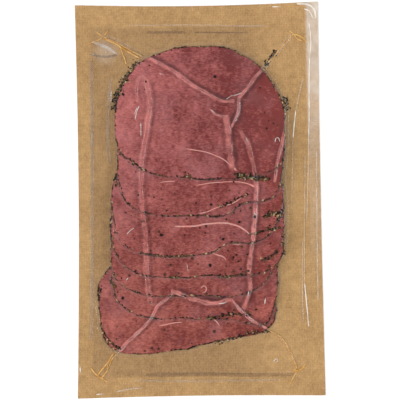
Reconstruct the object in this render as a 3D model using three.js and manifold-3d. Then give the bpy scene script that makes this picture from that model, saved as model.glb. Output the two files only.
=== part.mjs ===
// A flat vacuum pack of sliced pastrami, lying with its window up.
//
// A stiff kraft-faced backing sheet carries seven thin slices, shingled so that slice 1
// lies on top at the +Y end and slice 7 lies on the backing at the -Y end. A clear film
// is drawn down over them and sealed to the backing all round, with raised pleats where
// the spare film has gathered. Millimetres, +X across the pack, +Z up, origin on the
// underside of the backing at the middle of the pack.

import * as THREE from 'three';
import { mergeVertices } from 'three/addons/utils/BufferGeometryUtils.js';
import Module from 'manifold-3d';

const wasm = await Module();
wasm.setup();

// ---------------------------------------------------------------- driving dimensions

// The pack: backing and film are trimmed together, and both edges draw in a little.
const PACK_WIDTH = 160;
const PACK_LENGTH = 257;
const EDGE_BOW = { left: 1.6, right: 0.6, top: 1.7, bottom: 0.9 };
const EDGE_STEPS = 10;
const BACKING_THICKNESS = 0.5;
const FILM_THICKNESS = 0.3;

// Room left between pieces that touch in the real pack.
const GAP = 0.3;
// Extra room under the film for grains that stand proud, above a slice and beside its rim.
const GRAIN_ROOM = { above: 0.3, beside: 0.9 };

// The inner edge of the heat seal, a low rib in the film.
const SEAL = { left: 10, right: 9, top: 15.5, bottom: 13.5 };
const SEAL_RIB = { width: 1.4, height: 0.35 };

// Slices: one thickness, and how far a slice takes to sink past the end of one below it.
const SLICE_THICKNESS = 1.2;
const DRAPE = 16;
const RIM_STEPS = 60;
// The small waves along every rim: how many go round, and how high they are.
const RIM_WAVES = [{ count: 5, height: 0.5 }, { count: 11, height: 0.3 }];

// Each slice: its centre, its reach from there to the right, top, left and bottom, how
// square its corners are (top right, top left, bottom left, bottom right; 2 is round),
// its turn, and its dents (angle, depth, half width in degrees; a negative depth is a
// pulled-out corner).
const SLICES = [
  {
    centre: [1.5, 52], reach: [54.8, 48.4, 56, 39.8], square: [2.0, 2.15, 2.6, 5.0],
    turn: 0, dents: [],
  },
  {
    centre: [2.5, 34], reach: [53, 44, 55, 46.3], square: [3.4, 2.6, 4.0, 5.0],
    turn: -2, dents: [[-50, 11, 15]],
  },
  {
    centre: [-1, 6], reach: [56, 44, 55, 43.3], square: [2.4, 2.4, 4.2, 2.5],
    turn: 0, dents: [[-60, 6.5, 14], [152, 6, 15]],
  },
  {
    centre: [-1, -9], reach: [56.5, 43, 56, 42], square: [2.4, 2.4, 4.0, 4.5],
    turn: 0, dents: [],
  },
  {
    centre: [-4.5, -24], reach: [54, 41, 53, 39.5], square: [2.4, 2.4, 4.2, 3.4],
    turn: -2, dents: [],
  },
  {
    centre: [-5, -40], reach: [55.5, 40, 52.5, 38], square: [2.4, 2.4, 3.4, 5.0],
    turn: 0, dents: [[-42, -9, 9]],
  },
  {
    centre: [-10.5, -56], reach: [57, 30, 56.5, 41.6], square: [2.4, 2.1, 5.0, 6.0],
    turn: 7, dents: [[-56, 3.6, 20], [-85, 1.6, 9]],
  },
];

// Peppercorn and spice crust: cracked grains along the rims that show, thicker in places.
const GRAIN_SEED = 4100;
const GRAIN_SPACING = 4.4;
const GRAIN_SHARE = { least: 0.42, most: 0.82, clusters: 3 };
const GRAIN_LARGEST = 1.15;
const GRAIN_SMALLEST = 0.6;
const GRAIN_NARROWEST = 0.7;
const GRAIN_FLATNESS = 0.62;
const GRAIN_PROUD = 0.3;
const CRUST_BREADTH = 1.6;

// Pleats of the film: the line each one follows, its width and its height.
const WIDE = { width: 4.2, height: 1.3 };
const MIDDLE = { width: 3.2, height: 1.1 };
const NARROW = { width: 2.4, height: 0.8 };
const FINE = { width: 1.6, height: 0.5 };
const PLEAT_STEP = 6;
// A pleat's width and height at its two ends, as a share of the rest.
const PLEAT_TIP = 0.35;
// How far ahead a pleat feels for a higher slice, so that it clears each rim.
const PLEAT_REACH = 4.5;
// A pleat is solid down past one slice, and the room under the film is cut out of it.
const PLEAT_DEPTH = 2.2;
const PLEATS = [
  { size: MIDDLE, line: [[-62, 106], [-44, 99], [-24, 87], [-4, 75], [12, 66]] },
  { size: MIDDLE, line: [[64, 103.5], [53, 94.5], [42, 84], [32, 70.5], [26, 62]] },
  { size: NARROW, line: [[8, 57], [15, 52.5], [25, 53], [27, 61]] },
  { size: WIDE, line: [[19.5, 51], [19.5, 41], [19.5, 31], [22, 22]] },
  { size: MIDDLE, line: [[26, 48], [33, 31], [37, 3], [35, -24], [32.5, -44], [32, -62], [27.5, -71]] },
  { size: WIDE, line: [[-42, 80], [-34.5, 78], [-32, 66], [-35, 43], [-38, 20], [-37, -4]] },
  { size: MIDDLE, line: [[-37, -2], [-34.5, -32], [-34, -56], [-31.5, -68]] },
  { size: MIDDLE, line: [[-19, -61], [-28, -70], [-37, -83], [-51, -97], [-60, -107.5]] },
  { size: MIDDLE, line: [[-17, -61], [-4, -65], [11, -68], [23, -70], [34, -79.5], [47, -89]] },
  { size: NARROW, line: [[51, 38], [52.5, 30], [50.5, 18]] },
  { size: FINE, line: [[45, -87], [56, -97], [64, -110.5]] },
  { size: FINE, line: [[-71, 100.5], [-63, 107], [-59, 113]] },
  { size: FINE, line: [[59, 111.5], [65.5, 104.5], [71.5, 101.5]] },
  { size: FINE, line: [[69, -107], [64, -111.5], [58, -119.5]] },
  { size: FINE, line: [[-71.5, -109], [-61, -108.5], [-60, -117.5]] },
];
// A pleat's round top, across in half widths and up in heights.
const PLEAT_CROWN = [[-1, 0], [-0.62, 0.75], [0, 1], [0.62, 0.75], [1, 0]];

// Heights along the pack are worked out on rows this far apart.
const ROW_STEP = 5;
const ROW_COUNT = 2 * Math.ceil(PACK_LENGTH / 2 / ROW_STEP) + 1;
// Taller than the whole pack, for the shapes that only cut others.
const TALL = 40;
// Corners nearer to each other than this are one corner.
const SAME_CORNER = 1e-4;

const COLOURS = {
  kraft: { color: 0xb9986a, roughness: 0.75, metalness: 0 },
  meat: { color: 0xa55255, roughness: 0.45, metalness: 0 },
  film: { color: 0xd8d2c8, roughness: 0.12, metalness: 0, transparent: true, opacity: 0.3 },
};

// ---------------------------------------------------------------- small helpers

/** Repeatable random numbers from 0 to 1. */
function makeRandom(seed) {
  let state = seed;
  return () => {
    state = (state * 1664525 + 1013904223) % 4294967296;
    return state / 4294967296;
  };
}

/** 1 up to `from`, falling smoothly to 0 at `to`. */
function fade(value, from, to) {
  return 1 - THREE.MathUtils.smoothstep(value, from, to);
}

/** A closed geometry as a solid that can be joined and cut. */
function solidFrom(geometry) {
  const bare = geometry.clone();
  bare.deleteAttribute('normal');
  bare.deleteAttribute('uv');
  const merged = mergeVertices(bare, SAME_CORNER);
  const vertProperties = new Float32Array(merged.attributes.position.array);
  const triVerts = new Uint32Array(merged.index.array);
  return new wasm.Manifold(new wasm.Mesh({ numProp: 3, vertProperties, triVerts }));
}

/** A solid as a geometry again. */
function geometryFrom(solid) {
  const mesh = solid.getMesh();
  const geometry = new THREE.BufferGeometry();
  geometry.setAttribute('position', new THREE.BufferAttribute(mesh.vertProperties, 3));
  geometry.setIndex(new THREE.BufferAttribute(mesh.triVerts, 1));
  geometry.computeVertexNormals();
  return geometry;
}

/** A flat outline raised from z = bottom by a depth. */
function prism(points, bottom, depth) {
  const shape = new THREE.Shape(points.map(([x, y]) => new THREE.Vector2(x, y)));
  const geometry = new THREE.ExtrudeGeometry(shape, { depth, bevelEnabled: false });
  return geometry.translate(0, 0, bottom);
}

// ---------------------------------------------------------------- outlines

/** The pack's outline: four edges, each drawn in most at its middle. */
function packOutline() {
  const x = PACK_WIDTH / 2;
  const y = PACK_LENGTH / 2;
  const edges = [
    { from: [-x, -y], to: [x, -y], inward: [0, EDGE_BOW.bottom] },
    { from: [x, -y], to: [x, y], inward: [-EDGE_BOW.right, 0] },
    { from: [x, y], to: [-x, y], inward: [0, -EDGE_BOW.top] },
    { from: [-x, y], to: [-x, -y], inward: [EDGE_BOW.left, 0] },
  ];
  return edges.flatMap(({ from, to, inward }) => {
    const points = [];
    for (let i = 0; i < EDGE_STEPS; i += 1) {
      const t = i / EDGE_STEPS;
      const bow = Math.sin(Math.PI * t);
      points.push([
        THREE.MathUtils.lerp(from[0], to[0], t) + inward[0] * bow,
        THREE.MathUtils.lerp(from[1], to[1], t) + inward[1] * bow,
      ]);
    }
    return points;
  });
}

/** How far a slice's rim lies from its centre, in its own turned frame. */
function rimRadius(slice, angle) {
  const [right, top, left, bottom] = slice.reach;
  const cos = Math.cos(angle);
  const sin = Math.sin(angle);
  const across = cos >= 0 ? right : left;
  const along = sin >= 0 ? top : bottom;
  const upperPower = cos >= 0 ? slice.square[0] : slice.square[1];
  const lowerPower = cos >= 0 ? slice.square[3] : slice.square[2];
  const power = sin >= 0 ? upperPower : lowerPower;
  let radius = (Math.abs(cos / across) ** power + Math.abs(sin / along) ** power) ** (-1 / power);
  for (const [at, depth, halfWidth] of slice.dents) {
    const off = THREE.MathUtils.euclideanModulo(THREE.MathUtils.radToDeg(angle) - at + 180, 360) - 180;
    radius -= depth * Math.exp(-((off / halfWidth) ** 2));
  }
  for (const { count, height } of RIM_WAVES) {
    radius += height * Math.sin(count * (angle + slice.centre[1]));
  }
  return radius;
}

/** The point of a slice's rim at an angle, moved outward by `out`. */
function rimPoint(slice, angle, out = 0) {
  const radius = rimRadius(slice, angle) + out;
  const turned = angle + THREE.MathUtils.degToRad(slice.turn);
  return [
    slice.centre[0] + radius * Math.cos(turned),
    slice.centre[1] + radius * Math.sin(turned),
  ];
}

/** How far a point lies outside a slice's rim; negative on the slice. */
function outsideSlice(slice, x, y) {
  const dx = x - slice.centre[0];
  const dy = y - slice.centre[1];
  const angle = Math.atan2(dy, dx) - THREE.MathUtils.degToRad(slice.turn);
  return Math.hypot(dx, dy) - rimRadius(slice, angle);
}

/** A slice's whole rim, anticlockwise, moved outward by `out`. */
function sliceOutline(slice, out = 0) {
  const points = [];
  for (let i = 0; i < RIM_STEPS; i += 1) {
    points.push(rimPoint(slice, (2 * Math.PI * i) / RIM_STEPS, out));
  }
  return points;
}

// ---------------------------------------------------------------- heights along the pack

/** One height for each row, from a function of the row's y. */
function profile(heightAt) {
  return Array.from({ length: ROW_COUNT }, (_, row) => {
    return heightAt((row - (ROW_COUNT - 1) / 2) * ROW_STEP, row);
  });
}

/** A profile's height at any y. */
function heightOn(heights, y) {
  const along = THREE.MathUtils.clamp(y / ROW_STEP + (ROW_COUNT - 1) / 2, 0, ROW_COUNT - 1);
  const row = Math.min(Math.floor(along), ROW_COUNT - 2);
  return THREE.MathUtils.lerp(heights[row], heights[row + 1], along - row);
}

/** The solid between two profiles, as wide as the pack. */
function layer(bottom, top) {
  const rowY = profile((y) => y);
  const under = bottom.map((z, row) => new THREE.Vector2(rowY[row], z));
  const over = top.map((z, row) => new THREE.Vector2(rowY[row], z));
  const shape = new THREE.Shape([...under, ...over.reverse()]);
  const geometry = new THREE.ExtrudeGeometry(shape, { depth: PACK_WIDTH, bevelEnabled: false });
  const alongPack = new THREE.Matrix4().makeBasis(
    new THREE.Vector3(0, 1, 0),
    new THREE.Vector3(0, 0, 1),
    new THREE.Vector3(1, 0, 0),
  );
  return solidFrom(geometry.applyMatrix4(alongPack).translate(-PACK_WIDTH / 2, 0, 0));
}

/** A profile raised by a distance. */
function raised(heights, by) {
  return heights.map((z) => z + by);
}

// ---------------------------------------------------------------- slices

/** Stacks the slices from slice 7 up: each one lies on whatever is below it. */
function stackSlices() {
  let support = profile(() => BACKING_THICKNESS);
  const stacked = SLICES.map((slice, index) => ({ slice, index, above: SLICES.slice(0, index) }));
  for (const entry of stacked.toReversed()) {
    const reachY = sliceOutline(entry.slice).map(([, y]) => y);
    const low = Math.min(...reachY) - ROW_STEP;
    const high = Math.max(...reachY) + ROW_STEP;
    const below = support;
    entry.bottom = raised(below, GAP);
    entry.top = raised(entry.bottom, SLICE_THICKNESS);
    support = profile((y, row) => {
      const cover = fade(Math.max(low - y, y - high), 0, DRAPE);
      return THREE.MathUtils.lerp(below[row], entry.top[row], cover);
    });
  }
  return stacked;
}

/** One cracked grain of the crust, a flattened and turned icosahedron. */
function grain(radius, height, random) {
  const geometry = new THREE.IcosahedronGeometry(1, 0);
  geometry.rotateX(Math.PI * random());
  geometry.rotateZ(Math.PI * random());
  geometry.scale(radius, radius * THREE.MathUtils.lerp(GRAIN_NARROWEST, 1, random()), height);
  return geometry.rotateZ(Math.PI * random());
}

/** Crust grains along the part of a slice's rim that no other slice covers. */
function crustGrains({ slice, index, above, top }) {
  const random = makeRandom(GRAIN_SEED + index);
  const solids = [];
  const [right, upper, left, lower] = slice.reach;
  const count = Math.round((2 * Math.PI * (right + upper + left + lower)) / 4 / GRAIN_SPACING);
  for (let i = 0; i < count; i += 1) {
    const angle = (2 * Math.PI * (i + random())) / count;
    const radius = THREE.MathUtils.lerp(GRAIN_LARGEST, GRAIN_SMALLEST, random());
    const inward = radius / 2 + CRUST_BREADTH * random() ** 2;
    const cluster = Math.sin(GRAIN_SHARE.clusters * angle + slice.centre[1]) ** 2;
    const keep = random() < THREE.MathUtils.lerp(GRAIN_SHARE.least, GRAIN_SHARE.most, cluster);
    const [x, y] = rimPoint(slice, angle, -inward);
    const clear = radius + GRAIN_ROOM.beside + FILM_THICKNESS + GAP;
    const covered = above.some((other) => outsideSlice(other, x, y) < clear);
    if (keep && !covered) {
      const height = radius * GRAIN_FLATNESS;
      const crown = heightOn(top, y) + GRAIN_PROUD;
      const geometry = grain(radius, height, random);
      solids.push(solidFrom(geometry.translate(x, y, crown - height)));
    }
  }
  return solids;
}

/** A slice, cut from its layer by its own outline, with its crust grains joined on. */
function sliceGeometry(entry) {
  const outline = solidFrom(prism(sliceOutline(entry.slice), 0, TALL));
  let solid = layer(entry.bottom, entry.top).intersect(outline);
  for (const piece of crustGrains(entry)) {
    solid = solid.add(piece);
  }
  return geometryFrom(solid);
}

// ---------------------------------------------------------------- film

/** Points every few millimetres along a smooth line through the given ones. */
function smoothPath(line) {
  const curve = new THREE.CatmullRomCurve3(line.map(([x, y]) => new THREE.Vector3(x, y, 0)));
  return curve.getSpacedPoints(Math.max(3, Math.round(curve.getLength() / PLEAT_STEP)));
}

/** The upper face of the film near a point, over the highest slice that is in reach. */
function filmTop(stacked, x, y) {
  const rise = GAP + GRAIN_ROOM.above + FILM_THICKNESS;
  const near = stacked.filter(({ slice }) => outsideSlice(slice, x, y) < PLEAT_REACH);
  const flat = BACKING_THICKNESS + GAP + FILM_THICKNESS;
  return Math.max(flat, ...near.map(({ top }) => heightOn(top, y) + rise));
}

/** A raised pleat that follows the film under it and dies away at both ends. */
function pleatGeometry({ size, path }, stacked) {
  const last = path.length - 1;
  const section = [...PLEAT_CROWN, [1, -PLEAT_DEPTH / size.height], [-1, -PLEAT_DEPTH / size.height]];
  const ring = section.length;
  const positions = [];
  path.forEach((point, i) => {
    const before = path[Math.max(0, i - 1)];
    const after = path[Math.min(last, i + 1)];
    const side = new THREE.Vector2(before.y - after.y, after.x - before.x).normalize();
    const taper = i === 0 || i === last ? PLEAT_TIP : 1;
    const top = filmTop(stacked, point.x, point.y);
    for (const [across, up] of section) {
      const reach = across * taper * (size.width / 2);
      const rise = up * size.height * (up > 0 ? taper : 1);
      positions.push(point.x + side.x * reach, point.y + side.y * reach, top + rise);
    }
  });
  const faces = [];
  for (let i = 0; i < last; i += 1) {
    for (let j = 0; j < ring; j += 1) {
      const a = i * ring + j;
      const b = i * ring + ((j + 1) % ring);
      faces.push(a, a + ring, b, b, a + ring, b + ring);
    }
  }
  for (let j = 1; j < ring - 1; j += 1) {
    faces.push(0, j, j + 1);
    faces.push(last * ring, last * ring + j + 1, last * ring + j);
  }
  const geometry = new THREE.BufferGeometry();
  geometry.setAttribute('position', new THREE.Float32BufferAttribute(positions, 3));
  geometry.setIndex(faces);
  return geometry;
}

/** The four low straight ribs along the inner edge of the seal. */
function sealRibs() {
  const left = SEAL.left - PACK_WIDTH / 2;
  const right = PACK_WIDTH / 2 - SEAL.right;
  const top = PACK_LENGTH / 2 - SEAL.top;
  const bottom = SEAL.bottom - PACK_LENGTH / 2;
  const corners = [[left, bottom], [right, bottom], [right, top], [left, top]];
  const points = corners.map(([x, y]) => new THREE.Vector3(x, y, 0));
  return points.map((point, i) => ({ size: SEAL_RIB, path: [point, points[(i + 1) % 4]] }));
}

/** The room over one slice and all that is under it, up to `above` its face. */
function roomOver(entry, above, beside) {
  const outline = solidFrom(prism(sliceOutline(entry.slice, beside), 0, TALL));
  return layer(profile(() => 0), raised(entry.top, above)).intersect(outline);
}

/** The film: a thin skin over everything, with its pleats and seal ribs. */
function filmGeometry(stacked) {
  const flat = BACKING_THICKNESS + GAP;
  const above = GAP + GRAIN_ROOM.above;
  const { beside } = GRAIN_ROOM;
  let skin = solidFrom(prism(packOutline(), flat, FILM_THICKNESS));
  for (const entry of stacked) {
    skin = skin.add(roomOver(entry, above + FILM_THICKNESS, beside + FILM_THICKNESS));
  }
  const pleats = PLEATS.map(({ size, line }) => ({ size, path: smoothPath(line) }));
  for (const pleat of [...pleats, ...sealRibs()]) {
    skin = skin.add(solidFrom(pleatGeometry(pleat, stacked)));
  }
  skin = skin.subtract(solidFrom(prism(packOutline(), -TALL, TALL + flat)));
  for (const entry of stacked) {
    skin = skin.subtract(roomOver(entry, above, beside));
  }
  return geometryFrom(skin);
}

// ---------------------------------------------------------------- the pack

/** A named piece with its colour. */
function part(name, geometry, colour) {
  const mesh = new THREE.Mesh(geometry, new THREE.MeshStandardMaterial(colour));
  mesh.name = name;
  return mesh;
}

const pack = new THREE.Group();
pack.name = 'sliced_pastrami_pack';
pack.add(part('backing_sheet', prism(packOutline(), 0, BACKING_THICKNESS), COLOURS.kraft));
const stacked = stackSlices();
stacked.forEach((entry, i) => {
  pack.add(part(`slice_${i + 1}`, sliceGeometry(entry), COLOURS.meat));
});
pack.add(part('film', filmGeometry(stacked), COLOURS.film));

export default pack;
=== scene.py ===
"""A flat vacuum pack of sliced pastrami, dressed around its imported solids.

A kraft board carries seven thin shingled slices with a cracked pepper crust and pale
fat seams, under a clear film that gathers in pleats. Sizes in the tables are
millimetres in the pack's own frame, +X across it, +Y towards slice 1 and +Z up, and
what is built from them is in metres.
"""

import math
from typing import NamedTuple

import bmesh
import bpy
import numpy as np
from bpy.props import FloatProperty, FloatVectorProperty, IntProperty, PointerProperty
from mathutils import Matrix, Vector


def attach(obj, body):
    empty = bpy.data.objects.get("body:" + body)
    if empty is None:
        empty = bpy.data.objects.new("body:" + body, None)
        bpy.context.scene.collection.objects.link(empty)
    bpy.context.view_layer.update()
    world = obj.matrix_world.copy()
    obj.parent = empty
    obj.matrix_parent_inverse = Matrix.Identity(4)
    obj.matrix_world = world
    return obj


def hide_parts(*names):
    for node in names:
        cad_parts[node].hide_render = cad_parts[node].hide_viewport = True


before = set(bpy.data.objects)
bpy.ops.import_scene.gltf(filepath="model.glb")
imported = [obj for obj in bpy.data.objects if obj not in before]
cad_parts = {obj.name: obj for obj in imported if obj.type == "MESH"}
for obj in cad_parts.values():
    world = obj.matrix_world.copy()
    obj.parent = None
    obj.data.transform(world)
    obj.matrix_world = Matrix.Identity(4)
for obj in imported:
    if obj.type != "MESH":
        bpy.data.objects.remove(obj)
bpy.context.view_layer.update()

bl_info = {
    "name": "Sliced Pastrami Pack",
    "version": (1, 0, 0),
    "blender": (4, 5, 0),
    "location": "View3D > Sidebar > Pastrami",
    "description": "Builds a vacuum pack of sliced pastrami around its packed solids",
    "category": "Add Mesh",
}

MM = 0.001


# ---------------------------------------------------------------- colours and nodes


def linear(colour):
    """An sRGB hex colour as linear red, green and blue."""
    parts = [int(colour[i:i + 2], 16) / 255 for i in (0, 2, 4)]
    return tuple(p / 12.92 if p <= 0.04045 else ((p + 0.055) / 1.055) ** 2.4 for p in parts)


def per(size):
    """A texture scale that repeats every `size` millimetres."""
    return 1 / (size * MM)


def add(tree, kind, inputs=None, stops=None, **settings):
    """Adds a node with its settings, its ramp stops, and its inputs linked or filled.

    An input is a number, a colour, another node's output, or a node for its first output.
    """
    node = tree.nodes.new(kind)
    for name, value in settings.items():
        setattr(node, name, value)
    for socket, value in (inputs or {}).items():
        if isinstance(value, bpy.types.Node):
            value = value.outputs[0]
        if isinstance(value, bpy.types.NodeSocket):
            tree.links.new(value, node.inputs[socket])
        else:
            node.inputs[socket].default_value = value
    for index, (place, colour) in enumerate(stops or ()):
        elements = node.color_ramp.elements
        element = elements[index] if index < 2 else elements.new(place)
        element.position = place
        element.color = (*colour, 1) if len(colour) == 3 else colour
    return node


def blank_material(name):
    """A material with nothing in it but where its texture coordinates come from."""
    material = bpy.data.materials.new(name)
    material.use_nodes = True
    tree = material.node_tree
    tree.nodes.clear()
    place = add(tree, "ShaderNodeTexCoord").outputs["Object"]
    return material, tree, place


def finished(material, shader):
    """The material, once its last shader is joined to its surface."""
    add(material.node_tree, "ShaderNodeOutputMaterial", {"Surface": shader})
    return material


# ---------------------------------------------------------------- settings


def colour_property(name, description, default):
    """A colour that the user may change, from its sRGB hex value."""
    return FloatVectorProperty(
        name=name, description=description, subtype="COLOR", size=3, min=0, max=1,
        default=linear(default),
    )


class PastramiStageSettings(bpy.types.PropertyGroup):
    """The camera, the floor and the lamps."""

    camera_height: FloatProperty(
        name="Camera height", description="Height of the camera over the pack",
        default=0.6, unit="LENGTH")
    lens: FloatProperty(
        name="Lens", description="Focal length that frames the pack", default=82.8, unit="CAMERA")
    key_power: FloatProperty(
        name="Key power", description="Strength of the soft lamp on the left", default=108,
        unit="POWER")
    fill_power: FloatProperty(
        name="Fill power", description="Strength of the wide lamp on the right", default=15,
        unit="POWER")
    spark_power: FloatProperty(
        name="Spark power", description="Strength of the small lamp that lights the creases",
        default=0.3, unit="POWER")
    sky: FloatProperty(
        name="Sky", description="Brightness of the even light all round", default=0.62, min=0)
    floor_colour: colour_property("Floor", "Plain pale floor", "fafafa")


class PastramiBoardSettings(bpy.types.PropertyGroup):
    """The kraft board under the slices."""

    pale: colour_property("Pale fibres", "Lightest brown of the kraft", "c49c67")
    dark: colour_property("Dark fibres", "Darkest brown of the kraft", "9c7748")
    mottle: FloatProperty(
        name="Mottle", description="Size of the cloudy patches", default=5 * MM, unit="LENGTH")
    floc: FloatProperty(
        name="Flocs", description="Size of the clumps of pulp", default=1.6 * MM, unit="LENGTH")


class PastramiMeatSettings(bpy.types.PropertyGroup):
    """The cured and sliced beef."""

    light: colour_property("Light meat", "Palest pink of the cut face", "ce7871")
    deep: colour_property("Deep meat", "Darkest red of the cut face", "7c302c")
    # Partly painted highlight where a pleat pinches the meat; the fat seams take it as their darker
    # tone.
    pressed: colour_property("Pressed meat", "Salmon pink where a pleat pinches it", "ed8d81")
    # Partly painted sheen: cloudy greyer patches where air lies under the film.
    mauve_sheen: colour_property("Mauve", "Greyer pink where the film holds air", "a37377")
    browned: colour_property("Browned", "Tint of the meat far from slice 1", "fffce7")
    # Painted shade beside a pleat.
    hollow_shade: colour_property("Hollow", "Dark red beside a pleat", "5e2625")
    edge: colour_property("Edge", "Spiced brown of the rim", "35200f")
    fat: colour_property("Fat", "Seams of fat", "dcae9f")
    columns: IntProperty(
        name="Columns", description="Mesh columns across a slice", default=124, min=24)


class PastramiCrustSettings(bpy.types.PropertyGroup):
    """The cracked pepper and spice on the rims."""

    black: colour_property("Black pepper", "Husk of a black peppercorn", "1e1108")
    brown: colour_property("Brown spice", "Toasted seed", "60401f")
    olive: colour_property("Seed", "Split mustard and coriander seed", "84714a")
    pale: colour_property("Pale core", "Broken core of a peppercorn", "b99e72")
    spacing: FloatProperty(
        name="Spacing", description="Mean distance between grains on a rim", default=0.95 * MM,
        unit="LENGTH")


class PastramiFilmSettings(bpy.types.PropertyGroup):
    """The clear film and what gathers in its pleats."""

    juice: colour_property("Juice", "Amber juice drawn into the pleats", "c98f3f")
    thin_juice: colour_property("Thin juice", "Palest amber, where it lies thin", "e6bd7c")
    # Partly painted glare: the milky white of the film's corners, right edge and creases.
    milky_glare: colour_property("Haze", "Milky film that nothing presses down", "fff9ef")
    # Painted shade: this tint darkens what shows through the film over the left of the pocket, and
    # under creases given a shade.
    pocket: colour_property("Pocket", "Tint of the film over its hollow", "f3f3f6")
    cell: FloatProperty(
        name="Cell", description="Size of one face of the film", default=0.85 * MM, unit="LENGTH")


# ---------------------------------------------------------------- the pack's own shapes


class Slice(NamedTuple):
    """One slice's outline, in millimetres and degrees."""

    centre: tuple
    reach: tuple    # to the right, top, left and bottom
    square: tuple   # top right, top left, bottom left, bottom right; 2 is round
    turn: float
    dents: tuple = ()   # angle, depth and half width of each


# From the uppermost down.
SLICES = (
    Slice((1.5, 52), (54.8, 48.4, 56, 39.8), (2.0, 2.15, 2.6, 5.0), 0),
    Slice((2.5, 34), (53, 44, 55, 46.3), (3.4, 2.6, 4.0, 5.0), -2, ((-50, 11, 15),)),
    Slice((-1, 6), (56, 44, 55, 43.3), (2.4, 2.4, 4.2, 2.5), 0, ((-60, 6.5, 14), (152, 6, 15))),
    Slice((-1, -9), (56.5, 43, 56, 42), (2.4, 2.4, 4.0, 4.5), 0),
    Slice((-4.5, -24), (54, 41, 53, 39.5), (2.4, 2.4, 4.2, 3.4), -2),
    Slice((-5, -40), (55.5, 40, 52.5, 38), (2.4, 2.4, 3.4, 5.0), 0, ((-42, -9, 9),)),
    Slice((-10.5, -56), (57, 30, 56.5, 41.6), (2.4, 2.1, 5.0, 6.0), 7,
          ((-56, 3.6, 20), (-85, 1.6, 9))),
)
# Waves in every rim: how many go round it, and how high they are.
RIM_WAVES = ((5, 0.5), (11, 0.3))

# The sheet and the film over it: half their sides, and how far each edge bows in.
HALF_WIDTH = 80
HALF_LENGTH = 128.5
EDGE_BOW = {"left": 1.6, "right": 0.6, "top": 1.7, "bottom": 0.9}
BOARD_TOP = 0.5

# The stack: the room under a slice, and the slice's own thickness. A slice stays up for a
# little way past the end of the one below it, and then comes down over a longer one.
GAP = 0.3
THICKNESS = 1.2
REACH_PAST = 5
DRAPE = 16

# Soft swells of the slices: height, size and seed.
SWELLS = ((0.16, 15, 11), (0.09, 6.5, 12))

# Room from a slice to the film, and where the film leaves its rim and meets the board.
FILM_CLEAR = 0.42
FILM_FLAT = 0.92
FILM_FOOT = (0.35, 2.3)

# How much of a pleat's height the meat takes up, how much wider than the pleat the meat and
# the film rise, and how far from a covering rim the meat lies flat.
MEAT_LIFT = 0.75
MEAT_SPREAD = 1.25
FILM_SPREAD = 1.15
FLAT_BESIDE = 2.5


class Pleat(NamedTuple):
    """A fold of the film that pinches what lies under it, in millimetres."""

    width: float
    height: float
    crease: float   # 1 where both its edges are drawn sharp, 0 where it is round
    pale: float     # how much paler the meat is under it, partly pressed and partly painted highlight
    shade_beside: tuple  # how dark the painted shade beside it is, to the left and right, looking along it
    line: tuple


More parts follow.
